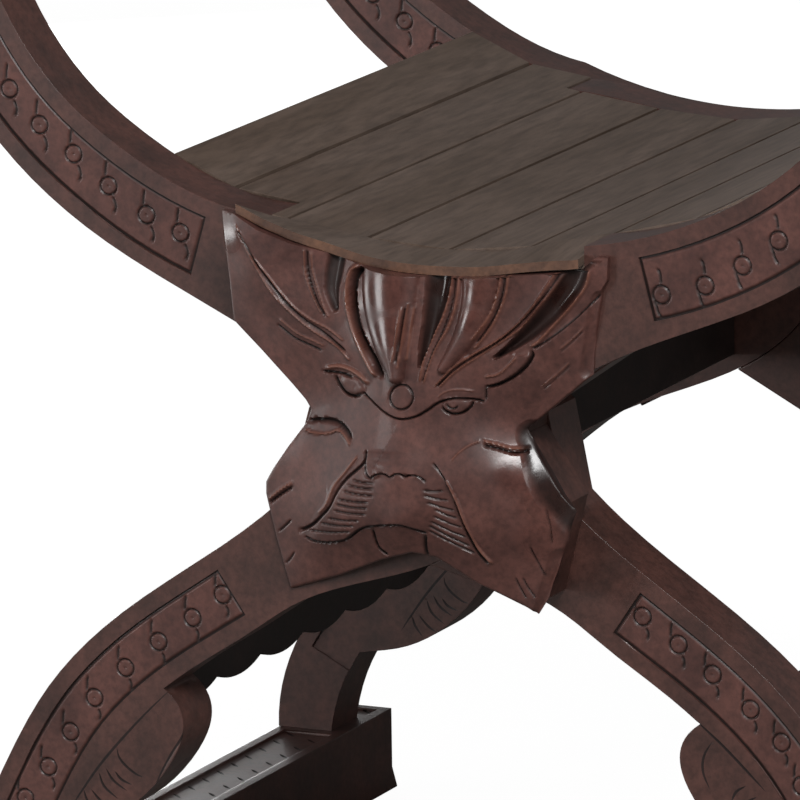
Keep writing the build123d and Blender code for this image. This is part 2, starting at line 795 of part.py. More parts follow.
for side, label in ((-1, "left"), (1, "right")):
    save(runner(side), f"{label}_foot_runner")
    save(side_stretcher(side), f"{label}_side_stretcher")
    save(armrest(side), f"{label}_armrest")
    save(back_post(side), f"{label}_back_post")
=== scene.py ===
import math

import bmesh
import bpy
import numpy as np
from mathutils import Matrix, Vector
from mathutils.bvhtree import BVHTree


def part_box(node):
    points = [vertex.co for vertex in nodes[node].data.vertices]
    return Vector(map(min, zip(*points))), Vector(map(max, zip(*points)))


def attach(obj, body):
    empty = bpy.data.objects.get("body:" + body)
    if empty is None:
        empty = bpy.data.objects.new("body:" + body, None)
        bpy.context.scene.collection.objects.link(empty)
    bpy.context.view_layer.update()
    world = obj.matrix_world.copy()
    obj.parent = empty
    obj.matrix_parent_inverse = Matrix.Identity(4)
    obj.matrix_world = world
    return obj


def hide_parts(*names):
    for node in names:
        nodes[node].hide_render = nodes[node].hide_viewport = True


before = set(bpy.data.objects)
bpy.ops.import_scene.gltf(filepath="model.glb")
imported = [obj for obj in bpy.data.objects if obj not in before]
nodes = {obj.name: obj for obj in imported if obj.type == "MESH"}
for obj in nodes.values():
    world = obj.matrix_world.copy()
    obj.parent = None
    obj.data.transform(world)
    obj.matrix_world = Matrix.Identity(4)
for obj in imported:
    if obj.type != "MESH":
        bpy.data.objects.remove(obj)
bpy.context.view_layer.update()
MM = 0.001
# The forward face of the front frame, as a depth
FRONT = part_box("front_right_arm_board")[0].y

# Camera, worked out from the photograph: angles in degrees, lengths in metres
VIEW_HEADING = 24.96
VIEW_TILT = 12.46
VIEW_ROLL = -0.84
VIEW_DISTANCE = 5.234
VIEW_TARGET = Vector((-0.0083, FRONT, 0.358))
PHOTO_SIZE = 800
FOCAL_PIXELS = 9822
SENSOR = 36.0
VIEW_END = 100

# Carving on the mask, as pixel places in the photograph with heights and half widths in mm.
# Its sides run from the top to the foot
MASK_LEFT_SIDE = [
    (222, 209), (227, 262), (233, 320), (262, 351), (305, 400), (310, 409), (306, 422), (287, 447),
    (272, 469), (265, 482), (265, 494), (268, 507), (278, 547), (290, 589),
]
MASK_RIGHT_SIDE = [
    (608, 256), (607, 281), (601, 291), (598, 312), (595, 333), (592, 355), (592, 375), (560, 402),
    (525, 430), (536, 452), (547, 473), (561, 497), (574, 512), (568, 529), (566, 543), (560, 557),
    (556, 571), (551, 584), (547, 599), (537, 615),
]
MASK_FOOT = [(290, 589), (338, 576), (382, 560), (411, 553), (436, 558), (479, 585), (526, 608), (537, 615)]
# Share of the mask's height, from its foot, at some numbered places of each side
MASK_LEVELS_LEFT = {0: 1.0, 2: 0.70, 4: 0.50, 11: 0.28, 13: 0.0}
MASK_LEVELS_RIGHT = {0: 1.0, 6: 0.70, 8: 0.50, 12: 0.28, 19: 0.0}
# Factor on the height of every stroke, then the mask's grid and the rounding of its rim in mm
CARVING_DEPTH = 1.25
MASK_COLUMNS = 320
MASK_ROWS = 270
MASK_EDGE_ROUND = 2.4
# How far the mask stands proud of the frame, place by place
MASK_RELIEF = [
    (225, 215, 3.5), (262, 232, 8), (300, 245, 9), (335, 258, 8), (365, 265, 11), (395, 268, 12),
    (440, 270, 11), (475, 270, 12), (520, 268, 12), (560, 262, 10), (588, 262, 8), (606, 258, 4),
    (229, 262, 3), (233, 320, 2.5), (262, 351, 3), (285, 378, 3), (305, 400, 4), (272, 315, 6),
    (290, 350, 6), (300, 300, 9.5), (330, 330, 11), (345, 355, 13), (365, 300, 13), (395, 330, 17),
    (440, 330, 15), (402, 397, 21), (402, 418, 21), (380, 378, 19), (425, 382, 19), (440, 358, 17),
    (460, 300, 13), (500, 300, 12), (480, 345, 14.5), (510, 322, 12.5), (545, 300, 11), (575, 300, 7.5),
    (598, 320, 3.5), (592, 375, 3), (560, 402, 3), (560, 360, 6.5), (530, 380, 8.5), (525, 430, 4),
    (500, 415, 9.5), (325, 375, 7.5), (352, 385, 12), (340, 405, 9), (455, 403, 15.5), (486, 397, 12),
    (330, 415, 8), (400, 440, 23), (397, 473, 26.5), (397, 500, 26.5), (397, 525, 25), (430, 455, 22),
    (362, 450, 20), (340, 500, 18), (315, 530, 11), (305, 480, 8.5), (270, 470, 3.5), (266, 500, 3),
    (278, 547, 3), (290, 589, 3), (338, 576, 6), (382, 560, 12), (411, 553, 15), (436, 558, 13),
    (345, 560, 9), (440, 500, 23), (456, 540, 18), (470, 450, 18), (495, 470, 17), (500, 510, 17),
    (540, 480, 9.5), (520, 545, 12), (574, 512, 4), (561, 557, 3.5), (547, 599, 3), (537, 615, 3),
    (500, 590, 7), (479, 585, 8.5),
]
# Strokes: height (cuts negative), half width, then the places
MASK_STROKES = [
    (0.9, 0.6, [(239, 222), (252, 248), (268, 270), (281, 288), (297, 307), (314, 320), (328, 328),
                (344, 341)]),
    (-1.2, 0.7, [(241, 228), (256, 255), (271, 279), (286, 300), (304, 318), (322, 331), (336, 343),
                 (346, 352)]),
    (0.9, 0.6, [(245, 237), (259, 264), (274, 291), (291, 310), (311, 328), (330, 341), (341, 350),
                (350, 361)]),
    (-1.0, 0.8, [(277, 323), (294, 337), (308, 344), (323, 351)]),
    (0.7, 0.6, [(280, 318), (297, 332), (311, 339), (325, 346)]),
    (0.8, 0.55, [(305, 248), (306, 264), (308, 278), (314, 295), (323, 314)]),
    (-1.0, 0.6, [(308, 249), (309, 266), (312, 283), (319, 303), (326, 317)]),
    (0.8, 0.55, [(312, 250), (314, 270), (319, 288), (325, 307), (330, 318)]),
    (2.4, 1.3, [(362, 263), (352, 270), (348, 284), (348, 304), (353, 327), (361, 348), (370, 366),
                (377, 378)]),
    (-4.0, 1.7, [(366, 266), (357, 275), (354, 290), (355, 310), (359, 329), (366, 345), (375, 361),
                 (383, 380)]),
    (0.8, 0.6, [(405, 305), (400, 336), (396, 362)]),
    (-0.9, 0.6, [(408, 305), (403, 336), (399, 362)]),
    (0.8, 0.6, [(411, 301), (406, 336), (401, 368)]),
    (0.8, 0.6, [(415, 305), (411, 335), (407, 361)]),
    (1.1, 0.8, [(453, 273), (450, 294), (444, 315), (434, 336), (425, 356), (420, 383)]),
    (-0.9, 0.6, [(456, 272), (454, 293), (449, 314), (440, 337), (431, 356), (423, 382)]),
    (1.1, 0.8, [(460, 271), (458, 292), (454, 312), (447, 330), (437, 346), (430, 362), (424, 384)]),
    (1.0, 0.7, [(502, 270), (499, 289), (493, 309), (484, 325), (472, 341)]),
    (-1.0, 0.6, [(505, 270), (503, 289), (497, 309), (488, 326), (475, 344)]),
    (1.0, 0.7, [(509, 268), (506, 292), (500, 309), (491, 327), (478, 344), (472, 350)]),
    (1.1, 0.7, [(559, 268), (548, 284), (537, 300), (525, 316), (510, 331), (493, 343), (472, 355),
                (453, 368), (435, 387)]),
    (-1.0, 0.6, [(561, 271), (550, 288), (537, 304), (523, 320), (507, 335), (489, 348), (470, 359),
                 (453, 371), (437, 387)]),
    (1.1, 0.7, [(563, 274), (551, 292), (538, 308), (522, 327), (504, 340), (485, 352), (468, 363),
                (453, 374), (440, 387)]),
    (1.2, 1.0, [(590, 268), (586, 286), (574, 303), (557, 322), (538, 342), (529, 347)]),
    (-1.1, 0.8, [(600, 294), (583, 312), (562, 330), (540, 345), (531, 349)]),
    (-2.4, 1.1, [(530, 349), (532, 356), (526, 366), (516, 375), (504, 382), (493, 386), (484, 387)]),
    (0.9, 0.7, [(518, 356), (510, 365), (499, 374), (484, 377)]),
    (0.5, 0.5, [(585, 327), (573, 339), (560, 349)]),
    (-0.5, 0.5, [(585, 330), (574, 341), (561, 352)]),
    (0.5, 0.5, [(570, 362), (556, 375), (541, 387)]),
    (-0.5, 0.5, [(571, 365), (558, 377), (543, 390)]),
    (-0.9, 0.6, [(486, 385), (486, 393), (486, 401)]),
    (1.5, 1.3, [(324, 368), (338, 366), (350, 369), (361, 376), (370, 385)]),
    (-1.6, 0.9, [(321, 371), (333, 372), (345, 374), (355, 378)]),
    (-2.0, 1.1, [(335, 374), (339, 384), (346, 392), (355, 396), (364, 393)]),
    (-2.0, 1.9, [(354, 386), (356, 386.5), (358, 387)]),
    (-1.5, 0.8, [(362, 391), (374, 402), (384, 411), (394, 417), (403, 419), (416, 416.5), (428, 410),
                 (438, 403), (449, 399), (459, 398), (472, 399), (486, 402)]),
    (0.5, 0.6, [(438, 397), (447, 391), (460, 389), (476, 391)]),
    (-1.5, 0.8, [(441, 406), (447, 412), (455, 414), (464, 412), (471, 406), (473, 400)]),
    (-1.0, 0.7, [(447, 402), (450, 407), (456, 408), (460, 404)]),
    (-1.0, 1.0, [(453, 402), (454.5, 403), (456, 403)]),
    (-2.2, 1.3, [(306, 421), (316, 420), (329, 420), (339, 423), (346, 430), (352, 441)]),
    (0.9, 0.8, [(304, 428), (314, 433), (329, 433), (338, 430), (345, 436), (351, 447)]),
    (-1.6, 0.9, [(268, 504), (281, 494), (294, 486)]),
    (0.9, 0.8, [(268, 500), (280, 490), (293, 482)]),
    (-0.9, 0.7, [(278, 532), (285, 526), (292, 519)]),
    (-0.8, 0.7, [(285, 564), (290, 559), (295, 551)]),
    (-2.0, 1.0, [(366, 449), (364, 463), (348, 478), (338, 491), (331, 506), (323, 515), (312, 525),
                 (299, 531)]),
    (0.9, 0.8, [(358, 455), (345, 472), (334, 486), (327, 503), (318, 514)]),
    (-2.2, 2.0, [(297, 530), (301, 530.5), (305, 531)]),
    (-1.4, 0.8, [(304, 536), (316, 541), (332, 542), (347, 539), (361, 529), (372, 526), (397, 525),
                 (411, 528), (428, 534)]),
    (-1.3, 0.7, [(366, 460), (367, 472), (372, 477), (378, 474), (385, 473.5), (391, 476.5), (396, 474),
                 (401, 474), (405, 477), (411, 475), (419, 477), (427, 483)]),
    (-1.1, 0.8, [(432, 462), (446, 480), (455, 496)]),
    (1.6, 1.0, [(446, 478), (457, 497), (463, 512), (470, 530), (480, 549), (494, 565)]),
    (-1.2, 0.8, [(455, 500), (461, 516), (468, 534), (477, 551), (489, 565)]),
    (-1.5, 0.8, [(372, 528), (375, 539), (379, 548), (389, 556)]),
    (-1.8, 1.2, [(425, 533), (425, 547), (428, 559)]),
    (1.3, 0.9, [(482, 440), (498, 444), (512, 448), (530, 448)]),
    (-1.5, 0.9, [(482, 445), (498, 449), (513, 453), (529, 452)]),
    (0.6, 0.6, [(451, 461), (460, 452), (470, 445), (482, 440)]),
    (-0.8, 0.6, [(515, 577), (520, 588), (527, 600)]),
    (-0.8, 0.6, [(522, 577), (528, 588), (536, 599)]),
    (-0.8, 0.6, [(529, 546), (537, 561), (546, 578)]),
    (-0.7, 0.6, [(545, 508), (550, 525), (552, 545)]),
]
# Whisker cuts, as the two ends of each
WHISKERS = [
    ((353, 479), (376, 483)), ((348, 484), (376, 488.5)), ((344, 490), (376, 495.5)),
    ((339, 498), (371, 502)), ((337, 503), (370, 508)), ((335, 509), (369, 514)), ((329, 517), (362, 520)),
    ((321, 522), (357, 525.5)), ((309, 530), (353, 531)), ((422, 490), (444, 491)),
    ((423, 495), (449, 501)), ((426, 502), (455, 511)), ((433, 509), (458, 519)), ((432, 516), (463, 528)),
    ((429, 521), (467, 538)), ((427, 525), (471, 547)), ((427, 530), (476, 554)),
]
# Swellings (height positive) and hollows, each place with its own half width in mm
MASK_SWELLS = [
    (6.0, [(392, 262, 15), (390, 300, 14), (392, 340, 10), (397, 376, 4)]),
    (-7.5, [(439, 268, 7.5), (437, 290, 7), (431, 318, 5), (424, 345, 3), (419, 366, 1)]),
    (4.2, [(481, 268, 10), (478, 300, 8.5), (465, 335, 6), (444, 368, 3)]),
    (-1.8, [(534, 270, 13), (520, 303, 11), (497, 332, 8), (470, 356, 3)]),
    (-7.5, [(577, 262, 7.5), (569, 284, 7.5), (554, 306, 6.5), (536, 326, 5), (515, 344, 3),
            (495, 358, 1)]),
    (-4.5, [(337, 256, 5), (334, 272, 5), (332, 290, 4), (335, 308, 2)]),
    (2.0, [(349, 381, 4), (354, 386, 5), (358, 389, 4)]),
    (-3.2, [(532, 436, 9), (549, 460, 16), (563, 488, 17), (577, 514, 12)]),
    (-2.5, [(559, 560, 6), (550, 590, 6), (540, 612, 4)]),
    (-3.0, [(600, 300, 5), (597, 330, 6), (590, 370, 6)]),
    (1.8, [(450, 404, 4), (456, 405, 5), (463, 404, 4)]),
]
# Steps, over a ramp and a reach in mm: how far the right-hand side stands proud, place by place
MASK_STEPS = [
    (9.5, 60, [(322, 353, 0), (300, 337, 1.4), (280, 318, 2.4), (264, 301, 3.4), (247, 279, 4.5),
               (238, 258, 5), (232, 238, 5.5), (231, 214, 5.5)]),
    (1.0, 22, [(531, 349, 0), (550, 338, 2.2), (570, 322, 2.2), (586, 309, 2.2), (600, 292, 0)]),
    (0.9, 25, [(530, 349, 0), (532, 356, 1.8), (526, 366, 1.8), (516, 375, 1.8), (504, 382, 1.8),
               (484, 387, 0)]),
    (0.8, 26, [(486, 398, 0), (459, 398, 1.6), (449, 399, 1.8), (438, 403, 1.8), (428, 410, 1.8),
               (416, 416.5, 1.8), (403, 419, 1.8), (394, 417, 1.8), (384, 411, 1.8), (374, 402, 1.6),
               (362, 391, 0)]),
    (0.9, 34, [(428, 534, 0), (411, 528, 2.2), (397, 525, 2.2), (372, 526, 2.2), (361, 529, 2.2),
               (347, 539, 2.2), (332, 542, 2), (316, 541, 1.4), (304, 536, 0)]),
    (0.9, 30, [(312, 525, 0), (331, 506, 2.2), (338, 491, 2.4), (348, 478, 2.4), (364, 463, 1.8),
               (366, 449, 0)]),
    (0.7, 30, [(427, 483, 0), (411, 475, 1.5), (401, 474, 1.5), (391, 476.5, 1.5), (385, 473.5, 1.5),
               (372, 477, 1.5), (366, 464, 0)]),
    (1.0, 40, [(494, 565, 0), (470, 530, 2.4), (456, 497, 2.4), (446, 480, 2.2), (432, 462, 0)]),
]
# Where the lacquer is polished bright: place in the photograph and radius in mm
MASK_POLISH = [
    (388, 290, 17), (392, 330, 14), (480, 290, 12), (474, 320, 10), (357, 300, 9), (362, 340, 8),
    (232, 240, 12), (520, 470, 20), (545, 500, 20), (540, 540, 16), (440, 290, 9), (560, 300, 10),
    (560, 580, 10),
]
POLISH_SPREAD = 1.6
# The small disc between the brows: its place in the photograph and sizes in mm
DISC_PLACE = (402, 397)
DISC_RADIUS = 6.5
DISC_SQUASH = 0.93
DISC_CUT = 1.1
DISC_HALF = 0.7
DISC_POINTS = 25
# Depth and half width of a whisker in mm, and its sag in pixels
WHISKER_CUT = 0.8
WHISKER_HALF = 0.75
WHISKER_SAG = 1
# How the relief is shaped: heights and depths in mm, PLATE_SPAN in pixels, TOP_PROBE_RISE in
# metres and CARVING_CREASE in degrees; the others are factors and counts
TAPER_HALVES = 3
SWELL_FULLNESS = 0.6
HOLLOW_FULLNESS = 0.9
# DARK_HOLLOW, HOLLOW_SHADE and HOLLOW_SPREAD set how deep hollows are painted dark as shade
DARK_HOLLOW = 3
HOLLOW_SHADE = 0.8
HOLLOW_SPREAD = 1.5
MASK_EDGE_DROP = 1.5
MASK_LEAST = 0.6
MASK_GAP = 0.05
TOP_INSET = 0.5
TOP_PROBE = 2
TOP_PROBE_RISE = 1
FIRST_RISE = 12.0
RISE_ROUNDS = 4
PLATE_SPAN = 100.0
CARVING_CREASE = 55

# Ring carving in the sunk panels: sizes in mm, tails in mm from the ring's centre, and the
# rings that the photograph shows as pixel places
PANEL_DEPTH = 1.6
PANEL_RISE = 1.15
PANEL_CELL = 0.62
PANEL_BORDER = 1.1
PANEL_GROOVE_FLOOR = 0.15
# Share of painted shade in the border groove of a panel
PANEL_GROOVE_SHADE = 0.9
PANEL_LEAST = 0.1
PANEL_GAP = 0.02
RING_PITCH = 25.0
RING_RADIUS = 4.9
LEFT_ARM_RINGS = [(180, 233), (146, 215), (108, 186), (73, 154), (39, 125), (9, 89)]
RIGHT_ARM_RINGS = [(661, 295), (704.6, 286), (742, 266), (778, 241)]
LEFT_LEG_RINGS = [(222, 595), (192, 618), (158, 642), (125, 668), (94, 698), (70, 732), (48, 767), (25, 798)]
RIGHT_LEG_RINGS = [(642, 617), (678, 645), (712, 675), (750, 710), (781, 743)]
RING_HALF = 0.75
RING_CUT = 1.0
RING_POINTS = 20
RING_DOT = [(-0.3, 0.0), (0.0, 0.0), (0.3, 0.0)]
RING_DOT_CUT = RING_CUT / 3
LEFT_ARM_TAILS = [
    [(-3.4, 4.6), (-2.0, 6.0), (-1.6, 10.0), (-0.6, 15.0)],
    [(2.0, -4.8), (3.9, -9.4), (3.9, -12.6), (2.2, -15.8)],
]
RIGHT_ARM_TAILS = [
    [(-0.2, 4.6), (-0.3, 8.5), (-1.0, 12.0), (-2.8, 15.0)],
    [(-4.6, -2.2), (-3.0, -6.0), (-1.8, -9.8), (0.8, -13.6)],
]
LEG_TAILS = [
    [(-4.8, 2.6), (-4.4, 6.0), (-4.2, 9.4), (-3.2, 13.0)],
    [(1.6, -4.8), (3.2, -8.4), (3.2, -10.8), (1.8, -13.6)],
]
TAIL_HALF = 0.95
# Gouge cuts on the lobes of the legs, as pixel places in the photograph; sizes in mm
LEFT_LOBE_CUTS = [
    [(117, 748), (119, 757), (126, 766), (136, 774), (143, 777)],
    [(115, 771), (121, 779), (132, 785)],
    [(106, 768), (113, 780), (127, 791)],
    [(99, 772), (104, 786), (118, 799)],
    [(84, 790), (87, 800), (95, 812)],
    [(91, 789), (100, 800), (110, 808)],
    [(172, 688), (146, 713), (120, 741), (99, 766), (81, 792), (72, 806)],
    [(174, 684), (182, 697), (185.5, 711), (187, 723), (182, 737), (173, 751), (165, 765), (157, 782),
     (152, 798)],
]
RIGHT_LOBE_CUTS = [
    [(691, 716), (705, 729), (722, 745), (742, 766), (754, 779), (766, 792)],
    [(712, 742), (704, 756), (703, 772), (710, 790)],
    [(746, 786), (736, 792), (731, 803)],
    [(757, 797), (748, 802), (742, 812)],
]
GOUGE_HALF = 1.1
GOUGE_DEPTH = 1.3
GOUGE_OVER = 0.6
GOUGE_TIP_SHARE = 0.12
GOUGE_FULLNESS = 0.6
GOUGE_STEPS = 4
# Chisel marks in the sunk tops of the foot rails: sizes in mm
MARK_PITCH = 19.0
MARK_ROW = 9.0
MARK_LENGTH = 12.0
MARK_SLANT = 0.9
MARK_STAGGER = 0.25
MARK_HALF = 1.5
MARK_POINTS = 5
RUNNER_SINK = 1.5
# How far the front edge of the seat lies above its even curve, place by place across it, in mm
LIP_LIFT = [
    (-110, 15), (-100, 15), (-85, 9.3), (-66, 5.5), (-45, 4.4), (-22, 1.6), (1, 0.4), (27, -0.4),
    (60, -2.5), (99, -6.0), (110, 0),
]
# How far the lip stands out from the frame, in mm, and how squarely a face must look forward to be painted
# with the lip's highlight
LIP_REACH = 8.0
LIP_FACING = 0.5
# Thickness of the frame boards, in mm
BOARD = 36.0
# Rounding of edges: angles in degrees, lengths in mm. A wall under 2 mm deep keeps its edge,
# because it belongs to a sunk panel
EDGE_ROUND = 1.1
SLAT_ROUND = 0.5
SHARP_ANGLE = 38
FLAT_ANGLE = 0.5
WOOD_CREASE = 48
SHALLOW_WALL = 2
SAME_PLACE = 0.01
MERGE = 0.001

# Wood finish: sizes in mm. Stain clouds are about 26 mm across. Real pores are about
# 0.2 mm wide, too fine to show here, so they are drawn as 3.8 mm flecks
BLOTCH_SIZE = 26.316
BLOTCH_RANGE = (0.36, 0.66)
PORE_SIZE = 3.846
PORE_RANGE = (0.33, 0.62)
PORE_STRENGTH = 0.34
PORE_BUMP = 0.12
PORE_DEPTH = 0.6
SMOOTHER = 0.05
ROUGHER = 0.1
POLISHED_ROUGHNESS = 0.2
COAT_ROUGHNESS = 0.14
LACQUER_IOR = 1.45
SLAT_GRAIN_SHARE = 0.12
SPECK_SIZE = 1.5
STEEL_ROUGHNESS = 0.42

# Lamps: place, what each is aimed at, and size, in metres, with power in watts
LAMPS = {
    "overhead": ((1.2, -2.3, 2.3), (0, 0, 0.35), 1.0, 82),
    "window": ((-2.05, -2.3, 0.45), (0, -0.25, 0.35), 0.75, 19),
    "left": ((-1.5, -0.3, 0.27), (0, -0.25, 0.4), 0.5, 6),
    "right": ((2.45, -1.75, 1.5), (0, -0.25, 0.35), 0.8, 9),
    "behind": ((-1.8, 2.3, 0.15), (0, 0.2, 0.4), 0.7, 34),
}
FLOOR_SIZE = 12.0
FLOOR_PAINT = (0.85, 0.85, 0.85, 1)
FLOOR_BOUNCE = (0.22, 0.21, 0.2, 1)
FLOOR_GLOW = 1.1
FLOOR_GLOW_SHARE = 0.88
ROOM_LIGHT = 0.16
WHITE = (1, 1, 1, 1)


def linear(hex_colour):
    """sRGB hex to the linear values that a shader takes."""
    values = [int(hex_colour[i:i + 2], 16) / 255 for i in (1, 3, 5)]
    return tuple(v / 12.92 if v <= 0.04045 else ((v + 0.055) / 1.055) ** 2.4 for v in values) + (1.0,)


def node(tree, kind, settings=None, links=None):
    """Add a shader node with its settings; links maps an input's name to a socket."""
    made = tree.nodes.new(kind)
    for key, value in (settings or {}).items():
        if isinstance(key, int) or key in made.inputs:
            made.inputs[key].default_value = value
        else:
            setattr(made, key, value)
    for key, socket in (links or {}).items():
        tree.links.new(socket, made.inputs[key])
    return made


def new_material(name):
    """An empty material and its node tree."""
    material = bpy.data.materials.new(name)
    material.use_nodes = True
    tree = material.node_tree
    tree.nodes.clear()
    return material, tree


def blend_colours(tree, share, dark, light):
    """Mix two colours, each a hex value or a socket, by a socket's value."""
    settings, links = {"data_type": "RGBA"}, {0: share}
    for key, colour in ((6, dark), (7, light)):
        if isinstance(colour, str):
            settings[key] = linear(colour)
        else:
            links[key] = colour
    return node(tree, "ShaderNodeMix", settings, links).outputs[2]


def stretch_range(tree, value, low, high):
    """Stretch a socket's value so that low becomes 0 and high becomes 1."""
    made = node(tree, "ShaderNodeMapRange", {"From Min": low, "From Max": high}, {"Value": value})
    return made.outputs["Result"]


def stained_wood(name, dark, light, shade_colour, highlight_colour, roughness, coat, grain=(1.0, 1.0, 1.0)):
    """Stained and lacquered wood: blotchy stain, fine pores, painted shade in cavities and a painted
    highlight on ridges.
    """
    material, tree = new_material(name)
    place = node(tree, "ShaderNodeTexCoord").outputs["Object"]
    along_grain = node(tree, "ShaderNodeMapping", {"Scale": grain}, {"Vector": place}).outputs[0]
    blotch = node(tree, "ShaderNodeTexNoise",
                  {"Scale": 1 / (BLOTCH_SIZE * MM), "Detail": 4.0, "Roughness": 0.6}, {"Vector": along_grain})
    fine = node(tree, "ShaderNodeTexNoise",
                {"Scale": 1 / (PORE_SIZE * MM), "Detail": 3.0, "Roughness": 0.65}, {"Vector": along_grain})
    stain = blend_colours(tree, stretch_range(tree, blotch.outputs["Fac"], *BLOTCH_RANGE), dark, light)
    pores = stretch_range(tree, fine.outputs["Fac"], *PORE_RANGE)
    flecked = node(tree, "ShaderNodeMix", {"data_type": "RGBA", "blend_type": "MULTIPLY", 0: PORE_STRENGTH},
                   {6: stain, 7: pores}).outputs[2]
    ridge_highlight, cut, polish = (node(tree, "ShaderNodeAttribute", {"attribute_name": kind}).outputs["Fac"]
                         for kind in ("ridge_highlight", "cut", "polish"))
    highlighted = blend_colours(tree, ridge_highlight, flecked, highlight_colour)
    final = blend_colours(tree, cut, highlighted, shade_colour)
    bump = node(tree, "ShaderNodeBump", {"Strength": PORE_BUMP, "Distance": PORE_DEPTH * MM},
                {"Height": fine.outputs["Fac"]})
    dull = node(tree, "ShaderNodeMapRange",
                {"To Min": roughness - SMOOTHER, "To Max": roughness + ROUGHER},
                {"Value": blotch.outputs["Fac"]})
    shine = node(tree, "ShaderNodeMix", {"data_type": "FLOAT", 3: POLISHED_ROUGHNESS},
                 {0: polish, 2: dull.outputs["Result"]})
    shader = node(tree, "ShaderNodeBsdfPrincipled",
                  {"Coat Weight": coat, "Coat Roughness": COAT_ROUGHNESS, "IOR": LACQUER_IOR},
                  {"Base Color": final, "Roughness": shine.outputs[0], "Normal": bump.outputs["Normal"]})
    node(tree, "ShaderNodeOutputMaterial", None, {"Surface": shader.outputs["BSDF"]})
    return material


def turned_steel(name, dark, light):
    """Blackened steel: a grey metal whose oxide leaves darker and paler specks."""
    material, tree = new_material(name)
    place = node(tree, "ShaderNodeTexCoord").outputs["Object"]
    speck = node(tree, "ShaderNodeTexNoise", {"Scale": 1 / (SPECK_SIZE * MM), "Detail": 4.0},
                 {"Vector": place})
    tint = blend_colours(tree, speck.outputs[0], dark, light)
    shader = node(tree, "ShaderNodeBsdfPrincipled", {"Metallic": 1.0, "Roughness": STEEL_ROUGHNESS},
                  {"Base Color": tint})
    node(tree, "ShaderNodeOutputMaterial", None, {"Surface": shader.outputs[0]})
    return material


# Mahogany stained and lacquered: a warm red brown with a low sheen, clouded by the stain
frame_wood = stained_wood("stained_mahogany", "#432c27", "#583831", "#0c0706", "#70473a", 0.44, 0.2)
# Hidden boards painted almost black as the shade they sit in, and left without lacquer
painted_shade_wood = stained_wood("painted_shade_beam_wood", "#1e1413", "#2b1e1b", "#0c0706", "#3a2a24", 0.55, 0.0)
# The carving's lacquer is redder, painted black in its cuts as shade and paler on its ridges as a highlight
carving_wood = stained_wood("lacquered_mahogany", "#4a2d28", "#603c35", "#0a0605", "#70473a", 0.5, 0.1)
# Edges are painted as thin paler lines, a highlight along the arrises
edge_highlight_wood = stained_wood("painted_highlight_mahogany_edge", "#6b4437", "#925e48", "#0c0706", "#7c5140", 0.45, 0.15)
# The rounded edges of the hidden boards are painted dark as shade, a little paler than their faces
painted_shade_edge_wood = stained_wood("painted_shade_edge", "#261a17", "#33241f", "#0c0706", "#3a2a24", 0.5, 0.0)
# The seat's front edge is painted golden brown as a highlight on its rounded edge and forward faces
lip_highlight_wood = stained_wood("painted_highlight_seat_edge", "#523a2f", "#74513d", "#0c0706", "#9a7050", 0.46, 0.15)
dowel_wood = stained_wood("turned_hardwood_dowel", "#4a332b", "#6a4a3d", "#160d0a", "#7c5140", 0.5, 0.0)
screw_steel = turned_steel("blackened_screw_steel", "#3b3a3a", "#5d5b59")
# Gouge cuts are painted nearly black as the shade inside them, and left dull
painted_shade_incised_wood = stained_wood("painted_shade_incised_mahogany", "#1d110f", "#2a1916", "#0a0605", "#70473a", 0.6, 0.0)
# Seat slats are painted greyer and paler as the sheen of their top faces, satin, with a grain drawn out along
# their length
sheen_painted_seat_wood = stained_wood("painted_sheen_seat_wood", "#5c4c41", "#6b5b51", "#0e0a09", "#6a5a4c", 0.5, 0.05,
                         (1.0, SLAT_GRAIN_SHARE, 1.0))


def smooth_path(points, steps=5):
    """A rounded curve through given places, with any further values carried along."""
    given = np.array(points, float)
    padded = np.vstack([2 * given[0] - given[1], given, 2 * given[-1] - given[-2]])
    path = []
    for before, start, end, after in zip(padded, padded[1:], padded[2:], padded[3:]):
        for t in np.linspace(0, 1, steps, endpoint=False):
            path.append((2 * start + (end - before) * t + (2 * before - 5 * start + 4 * end - after) * t ** 2
                         + (3 * start - before - 3 * end + after) * t ** 3) / 2)
    return np.array(path + [given[-1]])


def lengths_along(path):
    """The length passed at each point of a path."""
    return np.concatenate([[0], np.cumsum(np.linalg.norm(np.diff(path, axis=0), axis=1))])


def near_path(path, places):
    """Distance from each place to the path, its side and the share of the path passed there."""
    passed = lengths_along(path[:, :2])
    steps = np.diff(passed)
    best = np.full(len(places), np.inf)
    side, share = np.zeros(len(places)), np.zeros(len(places))
    for a, b, start, length in zip(path[:-1, :2], path[1:, :2], passed, steps):
        along = b - a
        t = np.clip(((places - a) @ along) / (along @ along), 0, 1)
        off = places - (a + t[:, None] * along)
        distance = np.hypot(off[:, 0], off[:, 1])
        closer = distance < best
        best[closer] = distance[closer]
        side[closer] = np.sign(along[0] * off[:, 1] - along[1] * off[:, 0])[closer]
        share[closer] = ((start + t * length) / passed[-1])[closer]
    return best, side, share, passed


def ease(values):
    """A soft step from 0 to 1."""
    held = np.clip(values, 0, 1)
    return held * held * (3 - 2 * held)


